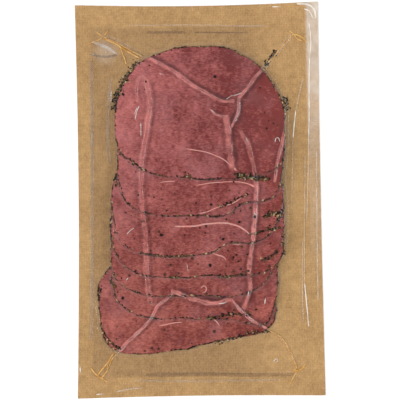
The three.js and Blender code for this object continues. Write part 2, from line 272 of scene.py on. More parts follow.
PLEATS = (
    Pleat(3.0, 0.7, 0.5, 0.8, (1.3, 0.5),
          ((-64.5, 108.4), (-57.9, 106.3), (-50, 102.9), (-42.2, 98.1), (-34, 93.4), (-22.5, 87.4),
           (-11.9, 80.6), (-3.8, 74.3), (5.2, 68.8), (11.7, 64.9), (17.4, 62.5), (24.3, 63))),
    Pleat(2.8, 0.7, 0.8, 0.85, (1.5, 0.6),
          ((63.9, 107.5), (58.6, 102.3), (50.5, 92.5), (43.2, 84.1), (37.8, 78.2), (32.5, 71.3),
           (28.4, 66.8), (26.4, 64.2))),
    Pleat(2.2, 0.6, 0.8, 1.0, (1.5, 1.2),
          ((28.4, 66.8), (26.8, 64.4), (26.7, 60.6), (26.2, 55.3), (24.3, 50.7), (21.6, 45.2))),
    Pleat(5.2, 0.4, 0.25, 0.95, (1.5, 0.8),
          ((18.5, 54), (19.3, 45.6), (19.8, 37.7), (20.4, 29.8), (20.9, 23.3), (21.5, 17.3))),
    Pleat(2.2, 0.45, 0.5, 1.0, (1.2, 0.3),
          ((8, 57.9), (9.9, 55.6), (12.5, 53.9), (15.8, 52.9), (19.7, 52.8))),
    Pleat(3.8, 0.25, 0.4, 0.7, (0.6, 0.8),
          ((26.8, 44.5), (29.4, 39.5), (31.9, 35.5), (33.5, 30.2), (35, 23), (36.2, 15.8),
           (37.1, 8.6))),
    Pleat(3.4, 0.4, 0.5, 0.9, (1.2, 0.9),
          ((36.6, 12), (37.1, 8.6), (37, 1.4), (36.5, -6.4), (35.7, -14.8), (34.9, -24.6),
           (33.5, -33), (32.4, -40.7), (31.6, -47.9), (32.2, -54.3), (32.1, -60.1),
           (30.1, -65.9), (27.7, -72.5))),
    Pleat(2.6, 0.3, 0.4, 0.7, (0.1, 0.8),
          ((57.6, 56.7), (56.6, 46.9), (54.7, 37.1), (53.2, 30.6), (51, 22.7), (49.9, 16.2),
           (48.9, 9))),
    Pleat(4.8, 0.3, 0.6, 0.75, (0.7, 0.4),
          ((-34.2, 78.4), (-33.2, 76.8), (-31.9, 70.2), (-30.7, 61.6), (-32.1, 51.7),
           (-33.5, 41.9), (-35.2, 32.1), (-36.6, 22.3), (-37.1, 12.5), (-37.2, 2.7),
           (-36.3, -7.1), (-35.4, -16.8), (-34.5, -29.9), (-34.3, -40.9), (-34.1, -51.2),
           (-33.2, -60.3), (-32.3, -68.1))),
    Pleat(2.6, 0.3, 0.4, 0.5, (0.2, 0.4),
          ((-39.2, 63), (-39.6, 72.9), (-38.4, 77.9), (-35.8, 79.8), (-33.6, 78))),
    Pleat(2.6, 0.7, 0.9, 1.0, (0.6, 0.4),
          ((-16.3, -59.6), (-21.8, -64.8), (-27.5, -69.7), (-31.2, -76.5), (-36, -82),
           (-42.6, -88.3), (-48.1, -92.9), (-50.9, -96.5), (-55, -99.9), (-58.3, -103.6))),
    Pleat(3.6, 0.7, 0.6, 1.0, (1.3, 0.7),
          ((-19, -59.4), (-14.4, -61.2), (-7, -64.1), (-1.4, -65.9), (4.1, -67.5), (11.5, -68.1),
           (17.1, -66.3), (21.4, -66))),
    Pleat(2.2, 0.6, 0.6, 0.8, (0.3, 0.3), ((-33.4, -67.3), (-30, -68.1), (-26.4, -67.6))),
    Pleat(2.2, 0.7, 0.9, 0.9, (1.3, 0.8),
          ((20.2, -65.6), (23.2, -69.7), (26.3, -73.4), (30, -76.7), (34.5, -80.4), (40.1, -83.3),
           (44.5, -86.3))),
    Pleat(1.6, 0.5, 0.4, 0, (0, 0),
          ((44.5, -86.3), (51.4, -90.8), (56.5, -98.6), (60.2, -106.3), (62.1, -110.8))),
)
# How far from its ends a pleat starts to run out.
PLEAT_TAPER = 7
SIDE_SHADE_SEED = 23

# Points on each span of a smooth curve, before it is cut into even steps.
SPAN_POINTS = 12
# Points each way on the grid of random heights that hills repeat after.
LATTICE = 64


def smooth_line(points, step):
    """Points every `step` millimetres along a smooth curve through the given ones."""
    known = np.array(points, float)
    ends = np.vstack([2 * known[0] - known[1], known, 2 * known[-1] - known[-2]])
    fine = []
    for a, b, c, d in zip(ends, ends[1:], ends[2:], ends[3:]):
        t = np.linspace(0, 1, SPAN_POINTS, endpoint=False)[:, None]
        fine.append(0.5 * (2 * b + (c - a) * t + (2 * a - 5 * b + 4 * c - d) * t ** 2
                           + (3 * b - a - 3 * c + d) * t ** 3))
    line = np.vstack([*fine, known[-1:]])
    run = np.concatenate([[0], np.cumsum(np.hypot(*np.diff(line, axis=0).T))])
    places = np.linspace(0, run[-1], max(4, round(run[-1] / step) + 1))
    return np.column_stack([np.interp(places, run, line[:, axis]) for axis in (0, 1)])


def line_distance(x, y, line):
    """How far each point lies from a line, how far along it, and on which side of it."""
    nearest = np.full(x.shape, np.inf)
    along, side = np.zeros(x.shape), np.zeros(x.shape)
    start = 0.0
    for (ax, ay), (bx, by) in zip(line, line[1:]):
        length = math.hypot(bx - ax, by - ay)
        t = np.clip(((x - ax) * (bx - ax) + (y - ay) * (by - ay)) / length ** 2, 0, 1)
        distance = np.hypot(x - ax - t * (bx - ax), y - ay - t * (by - ay))
        along = np.where(distance < nearest, start + t * length, along)
        turn = np.sign((x - ax) * (by - ay) - (y - ay) * (bx - ax))
        side = np.where(distance < nearest, turn, side)
        nearest = np.minimum(nearest, distance)
        start += length
    return nearest, along, start, side


def near_line(x, y, line, margin):
    """Which points lie within the box of a line, widened by a margin."""
    (left, low), (right, high) = np.min(line, axis=0), np.max(line, axis=0)
    return ((x > left - margin) & (x < right + margin) & (y > low - margin) & (y < high + margin))


def fade(value, full, none):
    """1 up to `full`, falling smoothly to 0 at `none`."""
    t = np.clip((value - full) / (none - full), 0, 1)
    return 1 - t * t * (3 - 2 * t)


def hills(x, y, size, seed):
    """Smooth random hills, from -1 to 1, one about every `size` millimetres."""
    lattice = np.random.default_rng(seed).uniform(-1, 1, (LATTICE, LATTICE))
    u, v = x / size + LATTICE / 2, y / size + LATTICE / 2
    i, j = np.floor(u).astype(int), np.floor(v).astype(int)
    s, t = u - i, v - j
    s, t = s * s * (3 - 2 * s), t * t * (3 - 2 * t)

    def corner(a, b):
        return lattice[(i + a) % LATTICE, (j + b) % LATTICE]

    low = corner(0, 0) * (1 - s) + corner(1, 0) * s
    high = corner(0, 1) * (1 - s) + corner(1, 1) * s
    return low * (1 - t) + high * t


def rim_radius(cut, angle):
    """How far a slice's rim lies from its centre, in its own turned frame."""
    right, top, left, bottom = cut.reach
    cos, sin = np.cos(angle), np.sin(angle)
    across = np.where(cos >= 0, right, left)
    along = np.where(sin >= 0, top, bottom)
    upper = np.where(cos >= 0, cut.square[0], cut.square[1])
    lower = np.where(cos >= 0, cut.square[3], cut.square[2])
    power = np.where(sin >= 0, upper, lower)
    radius = (np.abs(cos / across) ** power + np.abs(sin / along) ** power) ** (-1 / power)
    for at, depth, half_width in cut.dents:
        off = (np.degrees(angle) - at + 180) % 360 - 180
        radius = radius - depth * np.exp(-((off / half_width) ** 2))
    for count, height in RIM_WAVES:
        radius = radius + height * np.sin(count * (angle + cut.centre[1]))
    return radius


def outside(cut, x, y):
    """How far points lie outside a slice's rim; negative on the slice."""
    dx, dy = x - cut.centre[0], y - cut.centre[1]
    angle = np.arctan2(dy, dx) - math.radians(cut.turn)
    return np.hypot(dx, dy) - rim_radius(cut, angle)


# Where along the pack the heights of the stack are worked out, and all round a rim how
# closely its lowest and highest points are looked for.
ROWS = np.arange(-132, 132.5, 0.5)
ROUND = np.radians(np.arange(0, 360, 6))


def stack_slices():
    """The underside and upper face of each slice along the pack, from the lowest up."""
    support = np.full(ROWS.shape, BOARD_TOP)
    layers = {}
    for index in range(len(SLICES) - 1, -1, -1):
        cut = SLICES[index]
        y = cut.centre[1] + rim_radius(cut, ROUND) * np.sin(ROUND + math.radians(cut.turn))
        low, high = y.min() - REACH_PAST, y.max() + REACH_PAST
        under = support + GAP
        over = under + THICKNESS
        layers[index] = (under, over)
        cover = fade(np.maximum(low - ROWS, ROWS - high), 0, DRAPE)
        support = support + (over - support) * cover
    return layers


LAYERS = stack_slices()
PLEAT_PATHS = [(pleat, smooth_line(pleat.line, 2.0)) for pleat in PLEATS]


def swell(x, y):
    """The soft unevenness that all the slices share."""
    inside = fade(np.minimum.reduce([outside(cut, x, y) for cut in SLICES]), -1, 3)
    return inside * sum(height * hills(x, y, size, seed) for height, size, seed in SWELLS)


def pleat_rise(x, y, spread=1.0):
    """How far the pleats lift the film, before any slice."""
    rise = np.zeros(x.shape)
    for pleat, path in PLEAT_PATHS:
        half = spread * pleat.width / 2
        near = near_line(x, y, path, half)
        distance, along, length, _ = line_distance(x[near], y[near], path)
        q = np.clip(distance / half, 0, 1)
        ends = fade(-np.minimum(along, length - along), -PLEAT_TAPER, 0.5)
        rise[near] = np.maximum(rise[near], pleat.height * ends * (1 - q * q) ** 1.5)
    return rise


def pleat_tone(x, y):
    """Above 0 where a pleat presses the meat pale, partly for real and partly as painted highlight;
    below 0 for the painted shade beside it.
    """
    tone = np.zeros(x.shape)
    for pleat, path in PLEAT_PATHS:
        near = near_line(x, y, path, 2 * pleat.width)
        distance, along, length, side = line_distance(x[near], y[near], path)
        ends = fade(-np.minimum(along, length - along), -PLEAT_TAPER, 0.5)
        # Only a glow, because the pinched ridge that lies on it is paler still.
        pale = 0.3 * pleat.pale * np.clip(1 - (2 * distance / pleat.width) ** 2, 0, 1)
        # The painted shade lies just off the pleat, wider where it is darker, and comes and goes.
        deep = np.where(side < 0, *pleat.shade_beside)
        off = (distance - pleat.width / 2 - 0.6) / (0.5 + 0.8 * deep)
        uneven = 0.75 + 0.4 * hills(along, 9 * side, 4, SIDE_SHADE_SEED)
        tone[near] += ends * (pale - deep * uneven * np.exp(-off * off))
    return np.clip(tone, -1, 1)


def covered(index, x, y):
    """1 where a higher slice lies over this one, 0 where it shows."""
    hidden = np.zeros(x.shape)
    for other in SLICES[:index]:
        hidden = np.maximum(hidden, fade(outside(other, x, y), 0, FLAT_BESIDE))
    return hidden


def slice_top(index, x, y):
    """The upper face of one slice, with the lift that a pleat gives it where it shows."""
    flat = np.interp(y, ROWS, LAYERS[index][1])
    lift = MEAT_LIFT * pleat_rise(x, y, MEAT_SPREAD) * (1 - covered(index, x, y))
    return flat + swell(x, y) + lift


def ground(x, y):
    """The height of whatever lies uppermost at a point: a slice or the board."""
    height = np.full(x.shape, BOARD_TOP)
    for index in range(len(SLICES) - 1, -1, -1):
        on = outside(SLICES[index], x, y) < 0
        height = np.where(on, slice_top(index, x, y), height)
    return height


def film_base(x, y):
    """The film drawn down over the slices, without its pleats."""
    height = np.full(x.shape, FILM_FLAT)
    for index, cut in enumerate(SLICES):
        flat = np.interp(y, ROWS, LAYERS[index][1]) + swell(x, y) + FILM_CLEAR
        cover = fade(outside(cut, x, y), *FILM_FOOT)
        height = np.maximum(height, FILM_FLAT + (flat - FILM_FLAT) * cover)
    return height


# ---------------------------------------------------------------- mesh building


class Pile:
    """Closed pieces gathered into one mesh, with one number per point for each field."""

    def __init__(self, *fields):
        self.points, self.faces, self.count = [], [], 0
        self.fields = {field: [] for field in fields}

    def put(self, points, *face_sets, **values):
        """Adds one piece, in millimetres, from sets of faces with equally many corners each."""
        self.points.append(np.asarray(points, float))
        self.faces.extend(np.asarray(faces) + self.count for faces in face_sets)
        self.count += len(points)
        for field, numbers in self.fields.items():
            numbers.append(np.broadcast_to(values[field], len(points)))

    def build(self, name, material, slot, replaced=()):
        """Makes the object, in metres, hangs it on the root body, and hides the solids it replaces.
        """
        mesh = bpy.data.meshes.new(name)
        corners = np.concatenate([faces.ravel() for faces in self.faces])
        sides = np.concatenate([np.full(len(faces), faces.shape[1]) for faces in self.faces])
        mesh.vertices.add(self.count)
        mesh.vertices.foreach_set("co", (np.vstack(self.points) * MM).ravel())
        mesh.loops.add(len(corners))
        mesh.loops.foreach_set("vertex_index", corners)
        mesh.polygons.add(len(sides))
        mesh.polygons.foreach_set("loop_start", np.cumsum(sides) - sides)
        mesh.update(calc_edges=True)
        mesh.shade_smooth()
        for field, numbers in self.fields.items():
            attribute = mesh.attributes.new(field, "FLOAT", "POINT")
            attribute.data.foreach_set("value", np.concatenate(numbers).astype(np.float32))
        mesh.materials.append(material)
        piece = bpy.data.objects.new(name, mesh)
        bpy.context.scene.collection.objects.link(piece)
        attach(piece, "root")
        if replaced:
            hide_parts(*replaced)
        return piece


def grid_faces(rows, columns):
    """The faces of a grid of points, row after row, seen from above."""
    first = (np.arange(rows - 1)[:, None] * columns + np.arange(columns - 1)).ravel()
    return np.column_stack([first, first + 1, first + columns + 1, first + columns])


# Across a fold from edge to edge, and the two points of its flat underside.
FOLD_ACROSS = np.array([-1, -0.9, -0.74, -0.56, -0.3, 0, 0.3, 0.56, 0.74, 0.9, 1])
FOLD_UNDER = np.array([0.5, -0.5])
# The share of its width that a fold keeps at its ends, and what it wanders and widens by.
FOLD_TIP = 0.15
WANDER_SEED = 31
WIDEN_SEED = 32


def fold_profile(across, crease):
    """Height across a fold: round where crease is 0, with two raised edges where it is 1."""
    dome = (1 - across ** 2) ** 0.6
    edges = (1 - across ** 6) * (0.62 + 0.55 * across ** 2)
    return dome * (1 - crease) + edges * crease


def put_fold(pile, line, width, height, base, crease=0.0, sink=0.2, taper=PLEAT_TAPER,
             uneven=0.0, **values):
    """A closed raised fold along a line, lying on the surface that `base` gives.

    Its width and its line wander by the share `uneven`. Each of `values` is a number, or
    a function of how far along and across the fold.
    """
    run = np.concatenate([[0], np.cumsum(np.hypot(*np.diff(line, axis=0).T))])
    ahead = np.gradient(line, axis=0)
    side = np.column_stack([ahead[:, 1], -ahead[:, 0]]) / np.hypot(*ahead.T)[:, None]
    ends = np.clip(np.minimum(run, run[-1] - run) / taper, 0, 1)
    ends = np.sqrt(ends * (2 - ends))
    line = line + side * (0.3 * width * uneven * hills(*line.T, 5, WANDER_SEED))[:, None]
    half = width / 2 * (FOLD_TIP + (1 - FOLD_TIP) * ends)
    half = half * (1 + uneven * hills(*line.T, 4, WIDEN_SEED))
    across = np.concatenate([FOLD_ACROSS, FOLD_UNDER])
    x = line[:, :1] + side[:, :1] * half[:, None] * across
    y = line[:, 1:] + side[:, 1:] * half[:, None] * across
    profile = fold_profile(FOLD_ACROSS, crease) * height
    z = base(x, y)
    z[:, :len(FOLD_ACROSS)] += profile * ends[:, None]
    z[:, len(FOLD_ACROSS):] -= sink
    z[:, [0, len(FOLD_ACROSS) - 1]] -= sink / 2
    ring = len(across)
    points = np.column_stack([x.ravel(), y.ravel(), z.ravel()])
    one = np.arange(ring)
    other = (one + 1) % ring
    band = np.column_stack([one, other, other + ring, one + ring])
    sides = (band + ring * np.arange(len(line) - 1)[:, None, None]).reshape(-1, 4)
    caps = np.array([one[::-1], one + (len(line) - 1) * ring])
    shown = {name: value(run[:, None], across[None, :]).ravel() if callable(value) else value
             for name, value in values.items()}
    pile.put(points, sides, caps, **shown)


# ---------------------------------------------------------------- stage


# Where over the pack the camera stands, in millimetres, and in degrees how it tilts about X
# and Y and how far it rolls: nearly straight down, as the photograph was taken.
CAMERA_PLACE = (3.1, -28.1)
CAMERA_TILT = (-2.58, -0.23, 0.8)
FLOOR_HALF = 4   # metres


def aim(obj, place, target=(0, 0, 0)):
    """Stands a lamp at a place, in metres, and points it at a target."""
    obj.location = place
    obj.rotation_euler = (Vector(target) - Vector(place)).to_track_quat("-Z", "Y").to_euler()


def make_lamp(name, power, size, place, mirrored=True):
    """A square soft lamp, of a size and at a place in metres, that points at the pack.

    Where it isn't mirrored, it lights the pack but doesn't show in the gloss.
    """
    data = bpy.data.lights.new(name, "AREA")
    data.energy = power
    data.size = size
    lamp = bpy.data.objects.new(name, data)
    lamp.visible_glossy = mirrored
    bpy.context.scene.collection.objects.link(lamp)
    aim(lamp, place)


class PASTRAMI_OT_stage(bpy.types.Operator):
    """Set the camera over the pack, lay the floor and hang the lamps"""

    bl_idname = "pastrami.stage"
    bl_label = "Stage"

    def execute(self, context):
        scene = context.scene
        look = scene.pastrami_stage
        data = bpy.data.cameras.new("camera")
        data.lens = look.lens
        camera = bpy.data.objects.new("camera", data)
        scene.collection.objects.link(camera)
        tilt_x, tilt_y, roll = (math.radians(angle) for angle in CAMERA_TILT)
        world_to_camera = (Matrix.Rotation(roll, 3, "Z") @ Matrix.Rotation(tilt_x, 3, "X")
                           @ Matrix.Rotation(tilt_y, 3, "Y"))
        place = Vector((CAMERA_PLACE[0] * MM, CAMERA_PLACE[1] * MM, look.camera_height))
        camera.matrix_world = Matrix.Translation(place) @ world_to_camera.transposed().to_4x4()
        scene.camera = camera
        scene.view_settings.view_transform = "Standard"

        # Painted studio floor: matt, near white, so only the pack's shadow shows on it.
        floor, tree, _ = blank_material("matt_painted_floor")
        paint = add(tree, "ShaderNodeBsdfPrincipled", {
            "Base Color": (*look.floor_colour, 1), "Roughness": 0.9})
        mesh = bpy.data.meshes.new("floor")
        mesh.from_pydata([(FLOOR_HALF * x, FLOOR_HALF * y, 0)
                          for x, y in ((-1, -1), (1, -1), (1, 1), (-1, 1))], [], [(0, 1, 2, 3)])
        mesh.materials.append(finished(floor, paint))
        obj = bpy.data.objects.new("floor", mesh)
        scene.collection.objects.link(obj)

        # The bent film would mirror so large a lamp as grey arcs along the rims.
        make_lamp("key", look.key_power, 4.0, (-2.0, -0.8, 2.1), mirrored=False)
        make_lamp("fill", look.fill_power, 1.4, (1.5, 0.5, 1.6))
        make_lamp("spark", look.spark_power, 0.1, (-0.75, -0.25, 0.75))
        world = bpy.data.worlds.new("studio")
        world.use_nodes = True
        # The even light comes from all round, and less of it from straight above.
        tree = world.node_tree
        ray = add(tree, "ShaderNodeTexCoord").outputs["Generated"]
        height = add(tree, "ShaderNodeSeparateXYZ", {0: ray}).outputs["Z"]
        level = add(tree, "ShaderNodeMapRange", {
            "Value": height, "From Min": 0.7, "From Max": 0.97,
            "To Min": look.sky, "To Max": 0.15 * look.sky})
        sky = tree.nodes["Background"]
        sky.inputs["Color"].default_value = (1, 1, 1, 1)
        tree.links.new(level.outputs[0], sky.inputs["Strength"])
        scene.world = world
        return {"FINISHED"}


# ---------------------------------------------------------------- board


# A wave texture of scale 1 has this many bands in a metre.
WAVE_BANDS = 20 / (2 * math.pi)


def kraft_board(look):
    """Kraft paperboard, rolled from unbleached pulp: cloudy brown with small flocs."""
    material, tree, place = blank_material("rolled_kraft_paperboard")
    clouds = add(tree, "ShaderNodeTexNoise", {
        "Vector": place, "Scale": 1 / look.mottle, "Detail": 2, "Roughness": 0.5})
    # Pulp flocs are near 1 mm, and the rollers draw them a little longer down the sheet.
    rolled = add(tree, "ShaderNodeMapping", {"Vector": place, "Scale": (1.6, 1, 1)})
    flocs = add(tree, "ShaderNodeTexNoise", {
        "Vector": rolled, "Scale": 1 / look.floc, "Detail": 3, "Roughness": 0.7})
    both = add(tree, "ShaderNodeMix", {0: 0.65, 2: clouds, 3: flocs})
    # The wire of the paper machine leaves a faint weave, of 0.6 mm: drawn at 1.6 mm to show.
    across = add(tree, "ShaderNodeTexWave", {
        "Vector": place, "Scale": per(1.6) / WAVE_BANDS, "Distortion": 3.0, "Detail": 1},
        bands_direction="X")
    down = add(tree, "ShaderNodeTexWave", {
        "Vector": place, "Scale": per(1.6) / WAVE_BANDS, "Distortion": 3.0, "Detail": 1},
        bands_direction="Y")
    weave = add(tree, "ShaderNodeMath", {0: across.outputs[1], 1: down.outputs[1]})
    woven = add(tree, "ShaderNodeMath", {0: weave, 1: 0.04, 2: both}, operation="MULTIPLY_ADD")
    # The board looks richer where the film lies closer to it, in patches some 40 mm across: partly
    # the board's own tone and partly painted film sheen.
    board_tone_and_sheen = add(tree, "ShaderNodeTexNoise", {"Vector": place, "Scale": per(40), "Detail": 2})
    swayed = add(tree, "ShaderNodeMath", {
        0: board_tone_and_sheen, 1: 0.35, 2: woven}, operation="MULTIPLY_ADD")
    tint = add(tree, "ShaderNodeValToRGB", {0: swayed}, stops=(
        (0.54, tuple(look.dark)), (0.88, tuple(look.pale))))
    grain = add(tree, "ShaderNodeBump", {
        "Height": flocs, "Strength": 0.25, "Distance": 0.08 * MM})
    card = add(tree, "ShaderNodeBsdfPrincipled", {
        "Base Color": tint, "Roughness": 0.72, "Normal": grain})
    return finished(material, card)


class PASTRAMI_OT_board(bpy.types.Operator):
    """Give the backing sheet its kraft board"""

    bl_idname = "pastrami.board"
    bl_label = "Kraft board"

    def execute(self, context):
        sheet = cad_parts["backing_sheet"]
        sheet.data.materials.clear()
        sheet.data.materials.append(kraft_board(context.scene.pastrami_board))
        return {"FINISHED"}


# ---------------------------------------------------------------- slices


def cured_beef(look):
    """Brined, smoked and thinly sliced beef: pink with fine dark grain, moist and half matt."""
    material, tree, place = blank_material("brined_sliced_beef")
    patches = add(tree, "ShaderNodeTexNoise", {
        "Vector": place, "Scale": per(12), "Detail": 2, "Roughness": 0.5})
    grain = add(tree, "ShaderNodeTexNoise", {
        "Vector": place, "Scale": per(2.6), "Detail": 3, "Roughness": 0.7})
    # Cut muscle fibres are 0.1 mm thick: drawn as bundles of about 1 mm, the least that shows.
    lying = add(tree, "ShaderNodeMapping", {"Vector": place, "Scale": (0.6, 1.5, 1)})
    fibres = add(tree, "ShaderNodeTexNoise", {
        "Vector": lying, "Scale": per(1.3), "Detail": 2, "Roughness": 0.7})
    mixed = add(tree, "ShaderNodeMath", {
        0: patches, 1: 0.9, 2: grain}, operation="MULTIPLY_ADD")
    summed = add(tree, "ShaderNodeMath", {
        0: fibres, 1: 1.1, 2: mixed}, operation="MULTIPLY_ADD")
    # The slices are paler towards the left and deeper red towards the right, most of all on
    # slice 1, at the upper end of the pack.
    axes = add(tree, "ShaderNodeSeparateXYZ", {0: place})
    left = add(tree, "ShaderNodeMapRange", {
        "Value": axes.outputs["Y"], "From Min": 60 * MM, "From Max": 0.0,
        "To Min": 0.08, "To Max": -0.16})
    right = add(tree, "ShaderNodeMapRange", {
        "Value": axes.outputs["Y"], "From Min": 60 * MM, "From Max": 0.0,
        "To Min": -0.62, "To Max": -0.42})
    tilt = add(tree, "ShaderNodeMapRange", {
        "Value": axes.outputs["X"], "From Min": -55 * MM, "From Max": 55 * MM,
        "To Min": left, "To Max": right})
    level = add(tree, "ShaderNodeMath", {0: summed, 1: tilt})
    # Three noises were summed, and the ramp takes their mean.
    third = add(tree, "ShaderNodeMath", {0: level, 1: 1 / 3}, operation="MULTIPLY")
    pink = add(tree, "ShaderNodeValToRGB", {0: third}, stops=(
        (0.33, tuple(look.deep)), (0.588, tuple(look.light))))
    # Down the pack, away from slice 1, the meat is browner.
    down = add(tree, "ShaderNodeMapRange", {
        "Value": axes.outputs["Y"], "From Min": 30 * MM, "From Max": -90 * MM})
    tint = add(tree, "ShaderNodeMix", {0: down, 6: pink, 7: (*look.browned, 1)},
               data_type="RGBA", blend_type="MULTIPLY")
    # Cloudy patches of greyer pink: partly the meat's own tone and partly painted sheen of air
    # caught under the film.
    sheen_clouds = add(tree, "ShaderNodeTexNoise", {
        "Vector": place, "Scale": per(22), "Detail": 3, "Roughness": 0.65})
    mauve_sheen_mask = add(tree, "ShaderNodeMapRange", {
        "Value": sheen_clouds, "From Min": 0.5, "From Max": 0.72, "To Max": 0.25})
    flesh = add(tree, "ShaderNodeMix", {
        0: mauve_sheen_mask, 6: tint.outputs[2], 7: (*look.mauve_sheen, 1)}, data_type="RGBA")
    # Spice stain leaves dark dots, about a millimetre across and 4.5 mm apart. Only some
    # cells have a dot, and no two dots are equally large.
    cells = add(tree, "ShaderNodeTexVoronoi", {"Vector": place, "Scale": per(4.5)})
    apart = add(tree, "ShaderNodeSeparateColor", {0: cells.outputs["Color"]})
    wide = add(tree, "ShaderNodeMapRange", {
        "Value": apart.outputs["Red"], "From Min": 0.3, "To Min": 0.0, "To Max": 0.26})
    within = add(tree, "ShaderNodeMath", {
        0: wide, 1: cells.outputs["Distance"]}, operation="SUBTRACT")
    spots = add(tree, "ShaderNodeMapRange", {
        "Value": within, "From Min": -0.03, "From Max": 0.04, "To Max": 0.85})
    # They are faint on slices 1 and 2.
    spicy = add(tree, "ShaderNodeMapRange", {
        "Value": axes.outputs["Y"], "From Min": 12 * MM, "From Max": -4 * MM, "To Min": 0.25})
    dot = add(tree, "ShaderNodeMath", {0: spots, 1: spicy}, operation="MULTIPLY")
    dotted = add(tree, "ShaderNodeMix", {
        0: dot, 6: flesh.outputs[2], 7: (*look.edge, 1)}, data_type="RGBA")

    # A pleat presses the moisture out of a ridge, which pales, partly for real and partly as
    # painted highlight, and painted shade darkens the meat beside it.
    crest = add(tree, "ShaderNodeAttribute", attribute_name="crest").outputs["Fac"]
    raised = add(tree, "ShaderNodeMapRange", {"Value": crest, "To Max": 0.9})
    painted_shade = add(tree, "ShaderNodeMapRange", {"Value": crest, "From Max": -1.0, "To Max": 0.85})
    # Painted highlight, in part: the pressed pink pales a pinched ridge.
    pinched = add(tree, "ShaderNodeMix", {
        0: raised, 6: dotted.outputs[2], 7: (*look.pressed, 1)}, data_type="RGBA")
    # Painted shade beside a pleat.
    pressed = add(tree, "ShaderNodeMix", {
        0: painted_shade, 6: pinched.outputs[2], 7: (*look.hollow_shade, 1)}, data_type="RGBA")

    # The spice rub darkens the rim for about a millimetre, and further in where it is thick.
    rim = add(tree, "ShaderNodeAttribute", attribute_name="rim").outputs["Fac"]
    crust = add(tree, "ShaderNodeAttribute", attribute_name="crust").outputs["Fac"]
    ragged = add(tree, "ShaderNodeTexNoise", {
        "Vector": place, "Scale": per(1.6), "Detail": 2, "Roughness": 0.7})
    reach = add(tree, "ShaderNodeMapRange", {
        "Value": ragged, "From Min": 0.3, "From Max": 0.7, "To Min": 0.1, "To Max": 1.5})
    gaps = add(tree, "ShaderNodeTexNoise", {"Vector": place, "Scale": per(9), "Detail": 1})
    kept = add(tree, "ShaderNodeMapRange", {
        "Value": gaps, "From Min": 0.4, "From Max": 0.58, "To Min": 0.1})
    rubbed = add(tree, "ShaderNodeMath", {0: reach, 1: kept}, operation="MULTIPLY")
    edge = add(tree, "ShaderNodeMath", {0: rubbed, 1: rim}, operation="SUBTRACT")
    edge_mask = add(tree, "ShaderNodeMapRange", {
        "Value": edge, "From Min": -0.1, "From Max": 0.35})
    rub = add(tree, "ShaderNodeMath", {0: crust, 1: ragged}, operation="MULTIPLY")
    rub_mask = add(tree, "ShaderNodeMapRange", {
        "Value": rub, "From Min": 0.19, "From Max": 0.44})
    dark = add(tree, "ShaderNodeMath", {0: edge_mask, 1: rub_mask}, operation="MAXIMUM")
    colour = add(tree, "ShaderNodeMix", {
        0: dark, 6: pressed.outputs[2], 7: (*look.edge, 1)}, data_type="RGBA")

    bump = add(tree, "ShaderNodeBump", {
        "Height": mixed, "Strength": 0.35, "Distance": 0.12 * MM})
    beef = add(tree, "ShaderNodeBsdfPrincipled", {
        "Base Color": colour.outputs[2], "Roughness": 0.5, "IOR": 1.4, "Normal": bump})
    return finished(material, beef)


# How far in from a slice's rim its extra rows of points lie, and the round of its edge.
RIM_ROWS = (0.0, 0.14, 0.34, 0.62, 1.0, 1.7)
EDGE_ROUND = 0.62
# Fine waves in a rim that make it ragged: how many go round it, height and phase.
RAGGED = ((23, 0.10, 1.3), (37, 0.10, 4.0), (61, 0.08, 2.2))

# Where the crust lies thick: the line it follows, its spread, and how many grains it has.
CLUSTERS = (
    (((-38, 90), (-42.5, 86), (-47.5, 79), (-51, 72), (-54, 65), (-55, 59)), 1.2, 330),
    (((-53, 32), (-48, 27.5), (-42.5, 24), (-37, 20)), 0.8, 46),
    (((24, 14.5), (30, 13.2), (37, 12.2), (45, 11.8)), 1.7, 210),
    (((-9, 13.8), (-5, 14.2)), 0.8, 22),
    (((51.7, 96.2), (48.5, 91.9), (44.6, 85.8)), 0.6, 200),
    (((56.5, 65), (58.4, 58)), 0.9, 64),
    (((-53.6, 17), (-53.2, 9)), 0.7, 34),
    (((16, -5.5), (24, -1.5), (31, 1.5)), 0.7, 44),
    (((42, -12.5), (49.5, -10.6), (54.5, -9.8)), 1.3, 96),
    (((50, -14.5), (53, -11.4)), 0.9, 30),
    (((33, -24.2), (41, -22), (52, -20)), 0.9, 84),
    (((-38, -34.5), (-31, -37), (-20, -37.4), (-8, -37)), 0.7, 60),
    (((53, -27.5), (55, -37)), 0.9, 30),
    (((-20, -51), (-14, -50.5)), 0.7, 22),
    (((12, -51.5), (24, -50.2), (31, -47.6)), 0.8, 56),
    (((40, -41), (47, -38), (50, -35)), 1.6, 24),
    (((-58, -52.5), (-55, -56.2)), 0.8, 34),
    (((4, -77.4), (12, -76.6), (22, -75.2), (33, -76)), 0.8, 84),
    (((-64.8, -57.5), (-66, -66)), 0.6, 34),
    (((-64, -85), (-59, -91.4), (-53, -97)), 0.8, 58),
    (((10, -94), (22, -91), (35, -87), (46, -87.4)), 0.8, 90),
)


def disc_grid(columns, radius):
    """A square grid pressed into a disc, close rows near its rim, and what lies on the rim."""
    rows = np.array(RIM_ROWS) / radius
    inner = np.linspace(-1 + rows[-1], 1 - rows[-1], columns - 2 * (len(rows) - 1))
    u = np.concatenate([-1 + rows[:-1], inner, (1 - rows[:-1])[::-1]])
    v, u = np.meshgrid(u, u, indexing="ij")
    on_rim = (np.abs(u) == 1) | (np.abs(v) == 1)
    return u * np.sqrt(1 - v * v / 2), v * np.sqrt(1 - u * u / 2), on_rim


def crust_at(x, y):
    """How thick the spice rub lies at a point, from 0 to 1."""
    thick = np.zeros(x.shape)
    for line, spread, _ in CLUSTERS:
        near = near_line(x, y, line, 2 * spread)
        distance = line_distance(x[near], y[near], line)[0]
        thick[near] = np.maximum(thick[near], 0.8 * fade(distance, 0, 2 * spread))
    return thick


